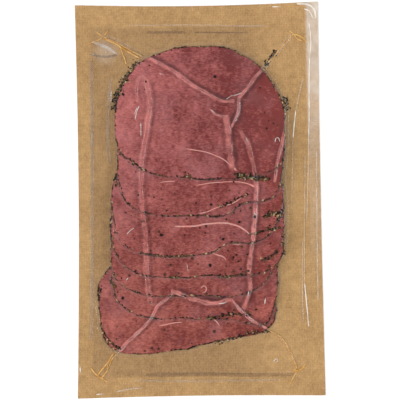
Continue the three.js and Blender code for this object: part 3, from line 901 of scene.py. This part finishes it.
def slice_pile(index, columns):
    """One slice as a closed mesh with a rounded, slightly ragged rim."""
    cut = SLICES[index]
    px, py, on_rim = disc_grid(columns, sum(cut.reach) / 4)
    radius = np.hypot(px, py)
    angle = np.arctan2(py, px)
    edge = rim_radius(cut, angle)
    for count, height, phase in RAGGED:
        edge = edge + height * np.sin(count * angle + phase + index)
    turned = angle + math.radians(cut.turn)
    x = cut.centre[0] + edge * radius * np.cos(turned)
    y = cut.centre[1] + edge * radius * np.sin(turned)
    inset = edge * (1 - radius)
    t = np.clip(inset / EDGE_ROUND, 0, 1)
    bulge = np.sqrt(np.clip(t * (2 - t), 0, 1))
    top = slice_top(index, x, y)
    bottom = np.interp(y, ROWS, LAYERS[index][0]) + swell(x, y)
    middle = bottom + THICKNESS / 2
    upper = middle + (top - middle) * bulge
    under = middle + (bottom - middle) * bulge
    x, y, upper, under, inset, on_rim = (
        part.ravel() for part in (x, y, upper, under, inset, on_rim))
    count = len(x)
    # Both sides share the points on the rim, which closes the slice.
    below = np.where(on_rim, np.arange(count), count + np.cumsum(~on_rim) - 1)
    faces = grid_faces(columns, columns)
    points = np.vstack([np.column_stack([x, y, upper]), np.column_stack([x, y, under])[~on_rim]])
    pile = Pile("rim", "crust", "crest")
    crust = crust_at(x, y)
    pile.put(
        points, np.vstack([faces, below[faces][:, ::-1]]),
        rim=np.concatenate([inset, inset[~on_rim]]),
        crust=np.concatenate([crust, crust[~on_rim]]),
        crest=np.concatenate([pleat_tone(x, y), np.zeros((~on_rim).sum())]),
    )
    return pile


class PASTRAMI_OT_slices(bpy.types.Operator):
    """Build the seven slices in place of their solids"""

    bl_idname = "pastrami.slices"
    bl_label = "Slices"

    def execute(self, context):
        look = context.scene.pastrami_meat
        beef = cured_beef(look)
        for index in range(len(SLICES)):
            pile = slice_pile(index, look.columns)
            pile.build(f"pastrami_slice_{index + 1}", beef, "cured_beef", [f"slice_{index + 1}"])
        return {"FINISHED"}


# ---------------------------------------------------------------- pepper crust


# Lone grains on the cut faces: place and half width before the film pressed them.
SPECKS = (
    (-31.1, 87.3, 0.5), (-34.5, 71.5, 0.5), (11.6, 79.3, 0.8), (41.0, 71.5, 0.55),
    (43.4, 55.0, 0.45), (49.1, 47.7, 0.6), (51.7, 46.3, 0.6), (51.1, 49.6, 0.4),
    (-24.4, -23.5, 1.1), (-26.0, -21.4, 0.7), (-32.1, -13.7, 0.6), (-43.8, -10.8, 0.4),
    (-41.2, -10.2, 0.4), (0.4, -19.4, 0.5), (-9.4, -23.8, 0.5), (3.7, -22.7, 0.5),
    (15.3, -26.8, 0.8), (7.8, -4.6, 0.8), (-32.2, -21.5, 0.5), (-31.6, -28.0, 0.4),
    (-42.0, -25.8, 0.5), (6.7, -43.5, 0.9), (21.7, -38.6, 0.7), (24.9, -41.3, 0.7),
    (23.6, -37.0, 0.6), (13.4, -25.5, 0.4), (33.2, -7.0, 0.7), (26.7, -8.8, 0.5),
    (12.9, -11.8, 0.7), (35.8, -12.9, 0.8), (45.9, -30.0, 0.6), (-50.7, -51.0, 0.5),
    (-50.1, -63.9, 0.9), (-53.4, -60.0, 0.5), (36, -72.5, 0.6), (-27.5, -11.1, 0.4),
    (-35.4, -14.9, 0.4), (36.4, -11.6, 0.6), (25.9, -16.0, 0.8), (31, 1.8, 0.8),
    (-33.5, 76.6, 0.7), (-40.6, 17.4, 0.5), (-38.9, 2.4, 0.6), (-24.2, 6.1, 0.45),
    (-15.5, 2.8, 0.55), (-1.8, -3.4, 0.5), (1.9, -8.9, 0.45), (-20.8, -8.1, 0.5),
    (-47.3, -8.8, 0.5), (-44.2, -3.1, 0.4), (-28.9, 0.7, 0.5), (17.5, -14.1, 0.6),
    (22.4, -9.9, 0.55), (-8.1, -13.5, 0.45), (44.6, 44.4, 0.6), (45.9, 49.4, 0.5),
    (19.7, 4.4, 0.6), (27.3, -31.8, 0.7), (30.9, -36.9, 0.6), (18.2, -34.0, 0.5),
    (-52.5, 69.5, 1.2), (-48.5, 68.5, 0.9), (-53.5, 14.5, 0.9), (-57.6, -53.0, 1.0),
    (-55.2, -56.4, 1.1),
)
# Pressing made them this much wider and this high for their width, and they are dark.
SPECK_WIDER = 1.2
SPECK_FLAT = 0.3
SPECK_PALEST = 0.62

# Grains on a rim, in millimetres: how many of them are large, half widths from and to, how
# far out of the rim they sit, which varies, and how finely the rim is gone round, in degrees.
LARGE_SHARE = 0.32
LARGE_HALF = (0.5, 0.8)
SMALL_HALF = (0.2, 0.45)
OUT, OUT_VARIES = -0.33, 0.3
RIM_STEP = 0.25

# Grains of a thick place: the smallest half width, how much larger the largest is, and how
# rare large ones are. Past 0.5 mm a grain is round enough to need the finer stone.
CLUSTER_HALF = (0.24, 0.62, 1.8)
FINE_STONE = 0.5
GRAIN_SEED = 77


def cracked_pepper(look):
    """Cracked peppercorns and seeds: wrinkled dark husks with a few pale broken cores."""
    material, tree, place = blank_material("cracked_pepper_rub")
    shade = add(tree, "ShaderNodeAttribute", attribute_name="shade").outputs["Fac"]
    kind = add(tree, "ShaderNodeValToRGB", {0: shade}, stops=(
        (0.0, tuple(look.black)), (0.5, tuple(look.black)), (0.6, tuple(look.brown)),
        (0.74, tuple(look.brown)), (0.8, tuple(look.olive)), (0.9, tuple(look.olive)),
        (0.95, tuple(look.pale))))
    wrinkle = add(tree, "ShaderNodeTexNoise", {
        "Vector": place, "Scale": per(0.5), "Detail": 2, "Roughness": 0.7})
    # The husk is lighter on its raised wrinkles and darker in their troughs.
    wrinkle_tone = add(tree, "ShaderNodeMapRange", {
        "Value": wrinkle, "From Min": 0.35, "From Max": 0.7, "To Min": 0.75, "To Max": 1.5})
    tint = add(tree, "ShaderNodeVectorMath", {0: kind, "Scale": wrinkle_tone}, operation="SCALE")
    bump = add(tree, "ShaderNodeBump", {
        "Height": wrinkle, "Strength": 0.6, "Distance": 0.1 * MM})
    husk = add(tree, "ShaderNodeBsdfPrincipled", {
        "Base Color": tint, "Roughness": 0.75, "Specular IOR Level": 0.3, "Normal": bump})
    return finished(material, husk)


def round_stone(subdivisions):
    """The points and faces of a ball of radius 1."""
    ball = bmesh.new()
    bmesh.ops.create_icosphere(ball, subdivisions=subdivisions, radius=1)
    ball.verts.ensure_lookup_table()
    points = np.array([vert.co[:] for vert in ball.verts])
    faces = np.array([[vert.index for vert in face.verts] for face in ball.faces])
    ball.free()
    return points, faces


def put_grain(pile, random, stone, place, size, turn, palest=1.0):
    """One cracked grain, uneven all over, at a place; `size` is its three half widths.

    Its shade is drawn from 0, the darkest, up to `palest`.
    """
    points, faces = stone
    lumpy = points * (1 + random.uniform(-0.22, 0.22, (len(points), 1)))
    lumpy = lumpy * size
    cos, sin = math.cos(turn), math.sin(turn)
    spin = np.array([[cos, sin, 0], [-sin, cos, 0], [0, 0, 1]])
    pile.put(lumpy @ spin + place, faces, shade=palest * random.uniform())


def crust_places(random, spacing):
    """Where grains sit along each rim that shows: place, half widths and turn of each."""
    for index, cut in enumerate(SLICES):
        angle = np.radians(np.arange(0, 360, RIM_STEP))
        radius = rim_radius(cut, angle)
        taken = random.uniform(size=len(angle)) < radius * np.radians(RIM_STEP) / spacing
        large = random.uniform(size=len(angle)) < LARGE_SHARE
        half = np.where(large, random.uniform(*LARGE_HALF, len(angle)),
                        random.uniform(*SMALL_HALF, len(angle)))
        out = random.normal(OUT, OUT_VARIES, len(angle))
        turned = angle + math.radians(cut.turn)
        x = cut.centre[0] + (radius + out) * np.cos(turned)
        y = cut.centre[1] + (radius + out) * np.sin(turned)
        for other in SLICES[:index]:
            taken &= outside(other, x, y) > 0.4
        t = np.clip(-out / EDGE_ROUND, 0, 1)
        drop = THICKNESS / 2 * (1 - np.sqrt(t * (2 - t)))
        z = slice_top(index, x, y) - drop - 0.1 * half
        for at in np.flatnonzero(taken):
            # Longer along the rim than across it, and flat.
            size = half[at] * np.array([0.75, random.uniform(1.0, 1.7), 0.55])
            yield (x[at], y[at], z[at]), size, turned[at] + random.normal(0, 0.25)


class PASTRAMI_OT_crust(bpy.types.Operator):
    """Scatter cracked pepper and spice along the rims and over the faces"""

    bl_idname = "pastrami.crust"
    bl_label = "Pepper crust"

    def execute(self, context):
        look = context.scene.pastrami_crust
        random = np.random.default_rng(GRAIN_SEED)
        small, large = round_stone(1), round_stone(2)
        pile = Pile("shade")
        for place, size, turn in crust_places(random, look.spacing / MM):
            put_grain(pile, random, large if size[0] > 0.4 else small, place, size, turn)
        spots = []
        for line, spread, count in CLUSTERS:
            along = smooth_line(line, 0.5)
            places = along[random.integers(0, len(along), count)]
            # Most grains lie close to the line, and a few stray far from it.
            places = places + random.standard_t(4, places.shape) * spread * 0.65
            smallest, larger, rarity = CLUSTER_HALF
            halves = smallest + larger * random.uniform(size=count) ** rarity
            spots.append(np.column_stack([places, halves, np.full((count, 2), (0.5, 1.0))]))
        spots.append([(x, y, SPECK_WIDER * half, SPECK_FLAT, SPECK_PALEST)
                      for x, y, half in SPECKS])
        x, y, half, flat, palest = np.vstack(spots).T
        z = ground(x, y) + 0.1 * half
        for at in range(len(x)):
            size = half[at] * np.array([1, random.uniform(0.55, 1.0), flat[at]])
            put_grain(pile, random, large if half[at] > FINE_STONE else small,
                      (x[at], y[at], z[at]), size, random.uniform(0, math.pi), palest[at])
        pile.build("pepper_crust", cracked_pepper(look), "cured_beef")
        return {"FINISHED"}


# ---------------------------------------------------------------- fat seams


# Seams of fat on the cut faces: greatest width, and the line each one follows.
FAT_SEAMS = (
    (0.7, ((-8.1, 32), (-1.5, 30.9), (5.6, 29.4), (11.5, 27), (16.1, 24.7), (19.9, 21.6),
           (23.2, 18.6))),
    (2.0, ((19.6, 22.4), (22.5, 19.3), (25.1, 16.7))),
    (0.7, ((-1.2, 8), (5.4, 9.2), (13.2, 9.9), (23.7, 10.1), (31.5, 8.7), (36, 6.2))),
    (1.8, ((32.5, 8.4), (34.8, 7.3), (37.3, 5.3))),
    (0.6, ((-24.7, 10.3), (-20.1, 10.9), (-14.9, 10.8))),
    (1.1, ((-15.8, -18.2), (-9.3, -18.3), (-2.8, -18.1), (5, -16.9), (15.5, -16.4), (23.3, -17.9),
           (28.5, -20.6), (32.3, -23.9))),
    (0.6, ((-0.1, -10.3), (5.1, -9.1), (10.4, -6.9), (15.6, -5.4), (20.9, -4.2), (25.5, -1.6),
           (28.1, 0.3))),
    (0.8, ((8.1, -35.8), (11.9, -37.1), (15.2, -38.2), (17.1, -40.5))),
    (0.6, ((21.2, -29.9), (24.4, -30.6), (27.0, -29.6))),
    (0.7, ((0.6, -58.3), (1.9, -56.7), (3.9, -57.7), (3.5, -60.3), (1.5, -60.9))),
    (0.7, ((-26.9, -82.3), (-21.1, -81.2), (-15.9, -80.3), (-12, -80.3))),
    (0.8, ((8.1, -78.4), (10.7, -80.4), (12.3, -83))),
)
FAT_HEIGHT = 0.12
FAT_WAVER = 0.05
FAT_SEED = 5


def beef_fat(look):
    """Rendered beef fat: waxy pinkish white, smoother than the meat."""
    material, tree, place = blank_material("rendered_beef_fat")
    cloud = add(tree, "ShaderNodeTexNoise", {"Vector": place, "Scale": per(1.5), "Detail": 2})
    tint = add(tree, "ShaderNodeValToRGB", {0: cloud}, stops=(
        (0.35, tuple(look.pressed)), (0.62, tuple(look.fat))))
    fat = add(tree, "ShaderNodeBsdfPrincipled", {
        "Base Color": tint, "Roughness": 0.38, "IOR": 1.45})
    return finished(material, fat)


class PASTRAMI_OT_fat(bpy.types.Operator):
    """Lay the thin seams of fat in the cut faces"""

    bl_idname = "pastrami.fat"
    bl_label = "Fat seams"

    def execute(self, context):
        pile = Pile()
        random = np.random.default_rng(FAT_SEED)
        for width, line in FAT_SEAMS:
            path = smooth_line(line, 0.8)
            path = path + random.normal(0, FAT_WAVER, path.shape)
            put_fold(pile, path, width, FAT_HEIGHT, ground, sink=0.15, taper=width * 6)
        pile.build("fat_seams", beef_fat(context.scene.pastrami_meat), "cured_beef")
        return {"FINISHED"}


# ---------------------------------------------------------------- pleats and film


# Threads of juice in the folds over the bare board: width and line.
THREADS = (
    (1.12, ((-61.2, 106.7), (-52.6, 103.3), (-45.4, 98.8), (-35, 93.6))),
    (0.8, ((-60.9, 105.6), (-52.6, 101.9), (-45.9, 97.4), (-38, 92.6))),
    (0.8, ((-61.8, 106.1), (-55.3, 103.6), (-50.7, 100.6), (-48.1, 94.2), (-46.2, 88.2))),
    (0.96, ((-57.8, 111.6), (-61.2, 107.7), (-64.5, 105.1), (-71.1, 102.6))),
    (0.96, ((-65.8, 110.4), (-61.2, 107), (-58.6, 106.6))),
    (0.96, ((60.7, 109.5), (63.9, 107.1), (67.2, 106.1), (69.8, 104.4), (72.4, 100.7))),
    (0.96, ((63.9, 107.5), (65.9, 104.1), (69.8, 102.1))),
    (1.04, ((46.2, 87.9), (50.5, 92.5), (57.2, 100.6), (61.3, 104.9), (63.9, 107.5))),
    (0.96, ((-50.9, -95.6), (-56.2, -99.5), (-61.5, -106.8), (-64.8, -110.6), (-66.8, -113.8),
            (-64.8, -115.1), (-62.2, -112.6), (-59.6, -108.1), (-57, -102.4), (-51.5, -97.6))),
    (0.96, ((-71.9, -108.5), (-68.1, -113.1), (-64.2, -115.7), (-60.3, -118.3))),
    (0.8, ((-58.5, -103.4), (-60.6, -107.2), (-60.9, -111.7))),
    (1.12, ((44.5, -86.3), (51.9, -91), (57, -99.4), (62.1, -111.3))),
    (0.8, ((68, -107.7), (64.7, -110.9), (62, -112.8), (59.4, -116.6), (57.4, -121))),
    (0.96, ((58.8, -111.4), (62.7, -112.1), (67.3, -109.7))),
)
JUICE_HEIGHT = 0.35
JUICE_CLEAR = 0.25


class Crease(NamedTuple):
    """A thin raised crease of the film alone, in millimetres."""

    width: float
    height: float
    white: float    # how milky white it is: partly stressed film, partly painted glint
    shade: float    # how much it darkens what lies under it
    line: tuple


CREASES = (
    # The white of a crease is partly stressed film and partly painted glint, brightest on the right
    # edge and the upper right corner.
    Crease(0.8, 0.3, 0.68, 0, ((73.9, 114.6), (75, 102.6), (73.8, 89.4), (73.1, 69.6), (72.9, 55.1),
                               (72.3, 40.1))),
    Crease(0.6, 0.2, 0.28, 0, ((72.5, 46), (71.5, 17.1), (70, -15.4))),
    Crease(0.7, 0.2, 0.15, 0, ((69.3, 77.6), (66.5, 66.5), (63.9, 55.3))),
    Crease(0.8, 0.25, 0.77, 0, ((64.2, 56.5), (62.9, 47.4), (62.1, 38.6))),
    Crease(0.7, 0.15, 0.09, 0, ((62.1, 40), (61.0, 12), (60.4, -6))),
    Crease(0.6, 0.2, 0.15, 0, ((69.7, 27.6), (68.5, -15.4), (67.6, -54.9))),
    Crease(0.7, 0.25, 0.64, 0, ((67.8, -55.9), (68.7, -67.2), (70, -84.4))),
    Crease(0.6, 0.2, 0.15, 0, ((67.1, -28.4), (66.2, -60.7), (66.5, -81.4))),
    Crease(0.8, 0.2, 0.18, 0, ((77.2, 30.1), (76.6, -15.6), (76.3, -67.4))),
    Crease(1.2, 0.3, 0.77, 0, ((66, 127.2), (72.2, 126.9), (75.8, 125.2), (78.0, 122.2),
                               (78.6, 117.5))),
    Crease(0.7, 0.3, 0.77, 0, ((70.8, 123.8), (74.6, 121.9), (76.6, 117.5))),
    Crease(0.7, 0.2, 0.68, 0, ((49.8, 125.4), (55, 125.5))),
    Crease(2.2, 0.15, 0.2, 0, ((-68.8, 104.1), (-63.2, 101.8), (-57.9, 99.4), (-52.4, 95.3))),
    # A painted fold shadow: this crease only darkens what lies under it.
    Crease(1.6, 0.1, 0, 0.7, ((-70.2, 95.9), (-61, 93.9), (-51.8, 95.2))),
    Crease(1, 0.2, 0.32, 0, ((-69.4, 96.2), (-67.4, 95.0))),
    Crease(0.6, 0.2, 0.36, 0, ((-56.5, 71.6), (-56.7, 63.7))),
    Crease(0.6, 0.15, 0.32, 0, ((-69.4, 44.2), (-69.5, 35))),
    Crease(2.6, 0.05, 0.05, 0, ((-69.8, 92.0), (-69.5, 49.1), (-70.1, -32.5), (-71.1, -90.6))),
    Crease(2.2, 0.05, 0.06, 0, ((-56.1, 79.8), (-57.8, 71.9), (-59.0, 52.2), (-59.0, 35.8),
                                (-57.6, 22.7))),
    Crease(0.8, 0.2, 0.59, 0, ((-78.3, -107.9), (-78.2, -112.1))),
    Crease(0.7, 0.2, 0.51, 0, ((-68.2, -126.0), (-63.0, -125.5))),
    Crease(1, 0.2, 0.18, 0, ((-54.6, -124.3), (-46.1, -122.6), (-38.7, -122.1))),
    Crease(0.6, 0.3, 0.77, 0, ((46.6, -106.4), (48.6, -104.5), (49.4, -106.0), (47.9, -107.0))),
    Crease(0.7, 0.15, 0.12, 0, ((-44.0, 114.6), (-1.2, 114.1), (28.5, 113.0), (46, 113.0))),
    Crease(1.6, 0.1, 0, 0.6, ((-33, 109.6), (-21, 109.6), (-7, 109.3))),
    Crease(1.2, 0.1, 0, 0.5, ((-2, 109.2), (20, 108.8), (34, 108.6))),
    Crease(2.6, 0.1, 0, 0.35, ((-36, -113.9), (-0.7, -113.8), (31.6, -114.8), (60.5, -114.8))),
    Crease(1.4, 0.15, 0.06, 0, ((-42.6, -117.4), (-0.8, -118.2), (51, -118.1))),
    # Small glints on the meat.
    Crease(0.5, 0.2, 0.51, 0, ((-38.0, 60.7), (-39.6, 56.5), (-40.8, 51.6))),
    Crease(0.4, 0.2, 0.42, 0, ((-39.2, 59.6), (-41.3, 54.7))),
    Crease(0.6, 0.2, 0.36, 0, ((-37.0, 49.6), (-36.9, 40.3))),
    Crease(0.5, 0.2, 0.32, 0, ((-25.0, 81.7), (-21.5, 81.1))),
    Crease(0.5, 0.2, 0.47, 0, ((-46.6, -23.0), (-44.6, -20.6), (-41.9, -18.8))),
    Crease(0.7, 0.2, 0.59, 0, ((-47.7, -52.6), (-46.2, -50.6))),
    Crease(0.6, 0.2, 0.64, 0, ((42.1, -65.2), (41.5, -69.1))),
    Crease(0.5, 0.25, 0.68, 0, ((49.7, 35.3), (50.4, 37.9), (52.1, 38.1), (53.0, 35.6))),
    Crease(0.5, 0.2, 0.42, 0, ((18.5, 63.8), (21.9, 66.3), (25.2, 66.9), (28.9, 68.3))),
    Crease(0.4, 0.2, 0.42, 0, ((31.1, 38.8), (32.2, 35.0))),
    Crease(0.5, 0.2, 0.59, 0, ((31.4, -60.3), (30.6, -65.1))),
    Crease(0.6, 0.2, 0.64, 0, ((11.8, -68.3), (14.8, -68.1), (17.1, -67.1))),
    Crease(0.5, 0.2, 0.51, 0, ((35.3, -9.9), (36.6, -12.0))),
    Crease(0.6, 0.2, 0.36, 0, ((8.7, 57.6), (11.3, 54.6))),
    Crease(0.6, 0.2, 0.18, 0, ((-8.3, -42.2), (-7.7, -47.6))),
)


def beside(line, offset):
    """A line moved sideways, to its right where `offset` is above 0."""
    ahead = np.gradient(line, axis=0)
    side = np.column_stack([ahead[:, 1], -ahead[:, 0]]) / np.hypot(*ahead.T)[:, None]
    return line + offset * side


def broken_milky_glint(white, broken, seed=0):
    """How milky a crease is along its length, partly stressed film and partly painted glint: it
    comes and goes every few millimetres.
    """
    return lambda along, across: (
        white * np.clip(0.8 + broken * hills(along, 0 * across, 4.5, seed + 140), 0, 1))


def film_surface(x, y):
    """The film with its pleats."""
    return film_base(x, y) + pleat_rise(x, y, FILM_SPREAD)


def board_base(x, y):
    """Just over the board, where the juice lies."""
    return np.full(x.shape, BOARD_TOP + JUICE_CLEAR)


def drawn_juice(look):
    """Thin amber meat juice drawn up inside the pleats: glossy and half clear."""
    material, tree, place = blank_material("drawn_meat_juice")
    cloud = add(tree, "ShaderNodeTexNoise", {"Vector": place, "Scale": per(2.5), "Detail": 2})
    tint = add(tree, "ShaderNodeValToRGB", {0: cloud}, stops=(
        (0.35, tuple(look.juice)), (0.7, tuple(look.thin_juice))))
    juice = add(tree, "ShaderNodeBsdfPrincipled", {
        "Base Color": tint, "Roughness": 0.2, "IOR": 1.35})
    clear = add(tree, "ShaderNodeBsdfTransparent")
    both = add(tree, "ShaderNodeMixShader", {0: 0.9, 1: clear, 2: juice})
    return finished(material, both)


# A pinched ridge of meat: its height, and how far it keeps inside the rim of the slice it
# lies on and outside the rim of one over it.
RIDGE_HEIGHT = 0.12
RIDGE_CLEAR = (0.7, 0.4)
# A distance from the rim at which the rub no longer darkens the meat.
FAR_FROM_RIM = 9.0


def parts_on_slices(path):
    """The stretches of a path that lie on one slice each, clear of its rim."""
    x, y = path.T
    owner = np.full(len(path), -1)
    for index in range(len(SLICES) - 1, -1, -1):
        off = outside(SLICES[index], x, y)
        owner[off < -RIDGE_CLEAR[0]] = index
        owner[(off >= -RIDGE_CLEAR[0]) & (off < RIDGE_CLEAR[1])] = -1
    cuts = np.flatnonzero(np.diff(owner)) + 1
    for part, on in zip(np.split(path, cuts), np.split(owner, cuts)):
        if on[0] >= 0 and len(part) > 4:
            yield part


def ridge_tone(pleat, seed):
    """How pale a pinched ridge is, partly pressed meat and partly painted highlight: thin broken
    painted highlight lines where it is creased, in a soft band, with painted shade at its edges.
    """

    def tone(along, across):
        # Two painted highlight lines halfway to the ridge's edges wander a little, and break off
        # here and there.
        # What is added to the seed keeps the patterns of one pleat apart.
        wander = 0.2 * hills(along, 0 * across, 5, seed + 50)
        lines = np.exp(-((np.abs(across + wander) - 0.45) / 0.15) ** 2)
        broken = np.clip(0.6 + 1.1 * hills(along, across, 3.5, seed), 0, 1.4)
        # The band between them is blotchy, partly pressed meat and partly painted highlight, and
        # fades out towards the edges, which sink.
        patchy = 0.62 + 0.5 * hills(along, 2.2 * across, 2.4, seed + 20)
        long = 0.9 + 0.35 * hills(along, 0 * across, 9, seed + 90)
        pale = 0.8 * (1 - across ** 2) * patchy + 0.7 * pleat.crease * broken * lines
        # Painted shade darkens the outer edges of the ridge, as dark on each side as the shade
        # beside the pleat.
        left, right = pleat.shade_beside
        painted_shade = 0.45 * np.where(across < 0, left, right) * np.abs(across) ** 8
        return np.clip(pleat.pale * long * pale - painted_shade, -1, 1)

    return tone


class PASTRAMI_OT_pleats(bpy.types.Operator):
    """Raise the pinched ridges of meat and lay the juice that the film draws up"""

    bl_idname = "pastrami.pleats"
    bl_label = "Pinched ridges and juice"

    def execute(self, context):
        ridges = Pile("rim", "crust", "crest")
        for index, pleat in enumerate(PLEATS):
            for part in parts_on_slices(smooth_line(pleat.line, 0.6)):
                put_fold(ridges, part, pleat.width, RIDGE_HEIGHT, ground, pleat.crease,
                         taper=2, uneven=0.3, rim=FAR_FROM_RIM, crust=0.0,
                         crest=ridge_tone(pleat, index))
        ridges.build("pressed_ridges", bpy.data.materials["brined_sliced_beef"], "cured_beef")
        juice = Pile()
        for width, line in THREADS:
            put_fold(juice, smooth_line(line, 0.6), width, JUICE_HEIGHT, board_base, taper=2,
                     uneven=0.4)
        material = drawn_juice(context.scene.pastrami_film)
        juice.build("pleat_juice", material, "cured_beef")
        return {"FINISHED"}


def clear_film(look):
    """Clear laminated film drawn tight by vacuum: seen by its thin sharp highlights."""
    material, tree, place = blank_material("clear_laminated_film")
    ripple = add(tree, "ShaderNodeTexNoise", {"Vector": place, "Scale": per(4), "Detail": 2})
    bump = add(tree, "ShaderNodeBump", {
        "Height": ripple, "Strength": 0.5, "Distance": 0.05 * MM})
    # Painted shade: the pocket tint darkens what shows through the film.
    pocket = add(tree, "ShaderNodeAttribute", attribute_name="pocket").outputs["Fac"]
    tint = add(tree, "ShaderNodeMix", {
        0: pocket, 6: (1, 1, 1, 1), 7: (*look.pocket, 1)}, data_type="RGBA")
    clear = add(tree, "ShaderNodeBsdfTransparent", {"Color": tint.outputs[2]})
    gloss = add(tree, "ShaderNodeBsdfAnisotropic", {
        "Color": (1, 1, 1, 1), "Roughness": 0.14, "Normal": bump})
    # Schlick's rule for IOR 1.5, which is the same from both faces of the thin film.
    facing = add(tree, "ShaderNodeLayerWeight", {"Blend": 0.5, "Normal": bump})
    grazing = add(tree, "ShaderNodeMath", {
        0: facing.outputs["Facing"], 1: 5.0}, operation="POWER")
    mirror = add(tree, "ShaderNodeMapRange", {"Value": grazing, "To Min": 0.04, "To Max": 1.0})
    skin = add(tree, "ShaderNodeMixShader", {0: mirror, 1: clear, 2: gloss})
    # Where the film isn't pressed to the board it looks milky; this white is partly the film's own
    # haze and partly painted glare and glints.
    veil = add(tree, "ShaderNodeAttribute", attribute_name="veil").outputs["Fac"]
    streaks = add(tree, "ShaderNodeTexNoise", {"Vector": place, "Scale": per(9), "Detail": 3})
    uneven = add(tree, "ShaderNodeMapRange", {
        "Value": streaks, "From Min": 0.3, "From Max": 0.6, "To Min": 0.6})
    milk_and_glare_mix = add(tree, "ShaderNodeMath", {0: veil, 1: uneven}, operation="MULTIPLY")
    milky_glare = add(tree, "ShaderNodeBsdfDiffuse", {"Color": (*look.milky_glare, 1)})
    both = add(tree, "ShaderNodeMixShader", {0: milk_and_glare_mix, 1: skin, 2: milky_glare})
    return finished(material, both)


# The hollow that the film spans inside its flat seal, and the flange to the right of it.
POCKET = {"left": -70, "right": 71, "bottom": -115, "top": 113}
FLANGE = 73.2
# Milky patches of the film, partly its own haze and partly painted glare: centre, half widths, the
# share of them that is milkiest, and how milky that is.
MILKY_GLARE = ((79, 126, 9, 12.6, 1 / 9, 0.55), (-60, 97, 11, 12, 0.2, 0.14))
# A crease whiter than this wanders a little. A fainter one is ruled straight.
WANDERS = 0.2

# Bright lines down both sides of a pleat, painted highlights of milky white on small raised folds:
# how far out, width, height and how milky.
GLINT_OUT = 0.22
GLINT_WIDTH = 0.5
GLINT_HEIGHT = 0.1
GLINT_WHITE = 0.13


class PASTRAMI_OT_film(bpy.types.Operator):
    """Draw the clear film over everything"""

    bl_idname = "pastrami.film"
    bl_label = "Clear film"

    def execute(self, context):
        look = context.scene.pastrami_film
        cell = look.cell / MM
        columns = round(2 * HALF_WIDTH / cell) + 1
        rows = round(2 * HALF_LENGTH / cell) + 1
        v, u = np.meshgrid(np.linspace(-1, 1, rows), np.linspace(-1, 1, columns), indexing="ij")
        bow_x = np.where(u < 0, EDGE_BOW["left"], -EDGE_BOW["right"]) * np.cos(math.pi * v / 2)
        bow_y = np.where(v < 0, EDGE_BOW["bottom"], -EDGE_BOW["top"]) * np.cos(math.pi * u / 2)
        x, y = u * HALF_WIDTH + bow_x * abs(u), v * HALF_LENGTH + bow_y * abs(v)
        z = film_surface(x, y)
        edge = np.maximum.reduce([
            POCKET["left"] - x, x - POCKET["right"], POCKET["bottom"] - y, y - POCKET["top"]])
        # The hollow is in shade at the left, and lit from 20 mm right of the middle on.
        pocket = fade(edge, -0.8, 0.8) * (1 - fade(-x, -60, -20))
        # The flange is milky, partly its own haze and partly painted glare, and milkiest at its
        # upper end.
        flange_glare = fade(FLANGE - x, 0, 2.5) * (0.3 * fade(78 - y, 0, 60) + 0.1 * fade(-y, 0, 70))
        patches = [
            white * fade(np.hypot((x - at_x) / half_x, (y - at_y) / half_y), full, 1)
            for at_x, at_y, half_x, half_y, full, white in MILKY_GLARE]
        veil = np.maximum.reduce([flange_glare, *patches])
        pile = Pile("pocket", "veil")
        pile.put(np.column_stack([x.ravel(), y.ravel(), z.ravel()]), grid_faces(rows, columns),
                 pocket=pocket.ravel(), veil=veil.ravel())
        for crease in CREASES:
            path = smooth_line(crease.line, 0.8)
            put_fold(pile, path, crease.width, crease.height, film_surface, sink=0.05,
                     taper=3 * crease.width, uneven=0.2 if crease.white > WANDERS else 0,
                     pocket=crease.shade, veil=broken_milky_glint(crease.white, 0.4))
        for index, pleat in enumerate(PLEATS):
            for side in (-1, 1):
                path = beside(smooth_line(pleat.line, 0.8), side * GLINT_OUT * pleat.width)
                white = GLINT_WHITE * pleat.crease * pleat.pale
                put_fold(pile, path, GLINT_WIDTH, GLINT_HEIGHT, film_surface, sink=0.05,
                         uneven=0.5, pocket=0.0, veil=broken_milky_glint(white, 1.6, index + side))
        pile.build("clear_film", clear_film(look), "clear_film", ["film"])
        return {"FINISHED"}


# ---------------------------------------------------------------- add-on


SETTINGS = {
    "pastrami_stage": PastramiStageSettings,
    "pastrami_board": PastramiBoardSettings,
    "pastrami_meat": PastramiMeatSettings,
    "pastrami_crust": PastramiCrustSettings,
    "pastrami_film": PastramiFilmSettings,
}
OPERATORS = (
    PASTRAMI_OT_stage,
    PASTRAMI_OT_board,
    PASTRAMI_OT_slices,
    PASTRAMI_OT_fat,
    PASTRAMI_OT_crust,
    PASTRAMI_OT_pleats,
    PASTRAMI_OT_film,
)


class PASTRAMI_PT_panel(bpy.types.Panel):
    """The steps that build the pack, and the sizes and colours they use"""

    bl_label = "Sliced Pastrami Pack"
    bl_idname = "PASTRAMI_PT_panel"
    bl_space_type = "VIEW_3D"
    bl_region_type = "UI"
    bl_category = "Pastrami"

    def draw(self, context):
        for operator in OPERATORS:
            self.layout.operator(operator.bl_idname)
        for name, group in SETTINGS.items():
            box = self.layout.box()
            for field in group.__annotations__:
                box.prop(getattr(context.scene, name), field)


def register():
    for kind in (*SETTINGS.values(), *OPERATORS, PASTRAMI_PT_panel):
        bpy.utils.register_class(kind)
    for name, group in SETTINGS.items():
        setattr(bpy.types.Scene, name, PointerProperty(type=group))


def unregister():
    for name in SETTINGS:
        delattr(bpy.types.Scene, name)
    for kind in reversed((*SETTINGS.values(), *OPERATORS, PASTRAMI_PT_panel)):
        bpy.utils.unregister_class(kind)


def main():
    """Builds the pack step by step."""
    register()
    for operator in OPERATORS:
        getattr(bpy.ops.pastrami, operator.bl_idname.split(".")[1])()


if __name__ == "__main__":
    main()
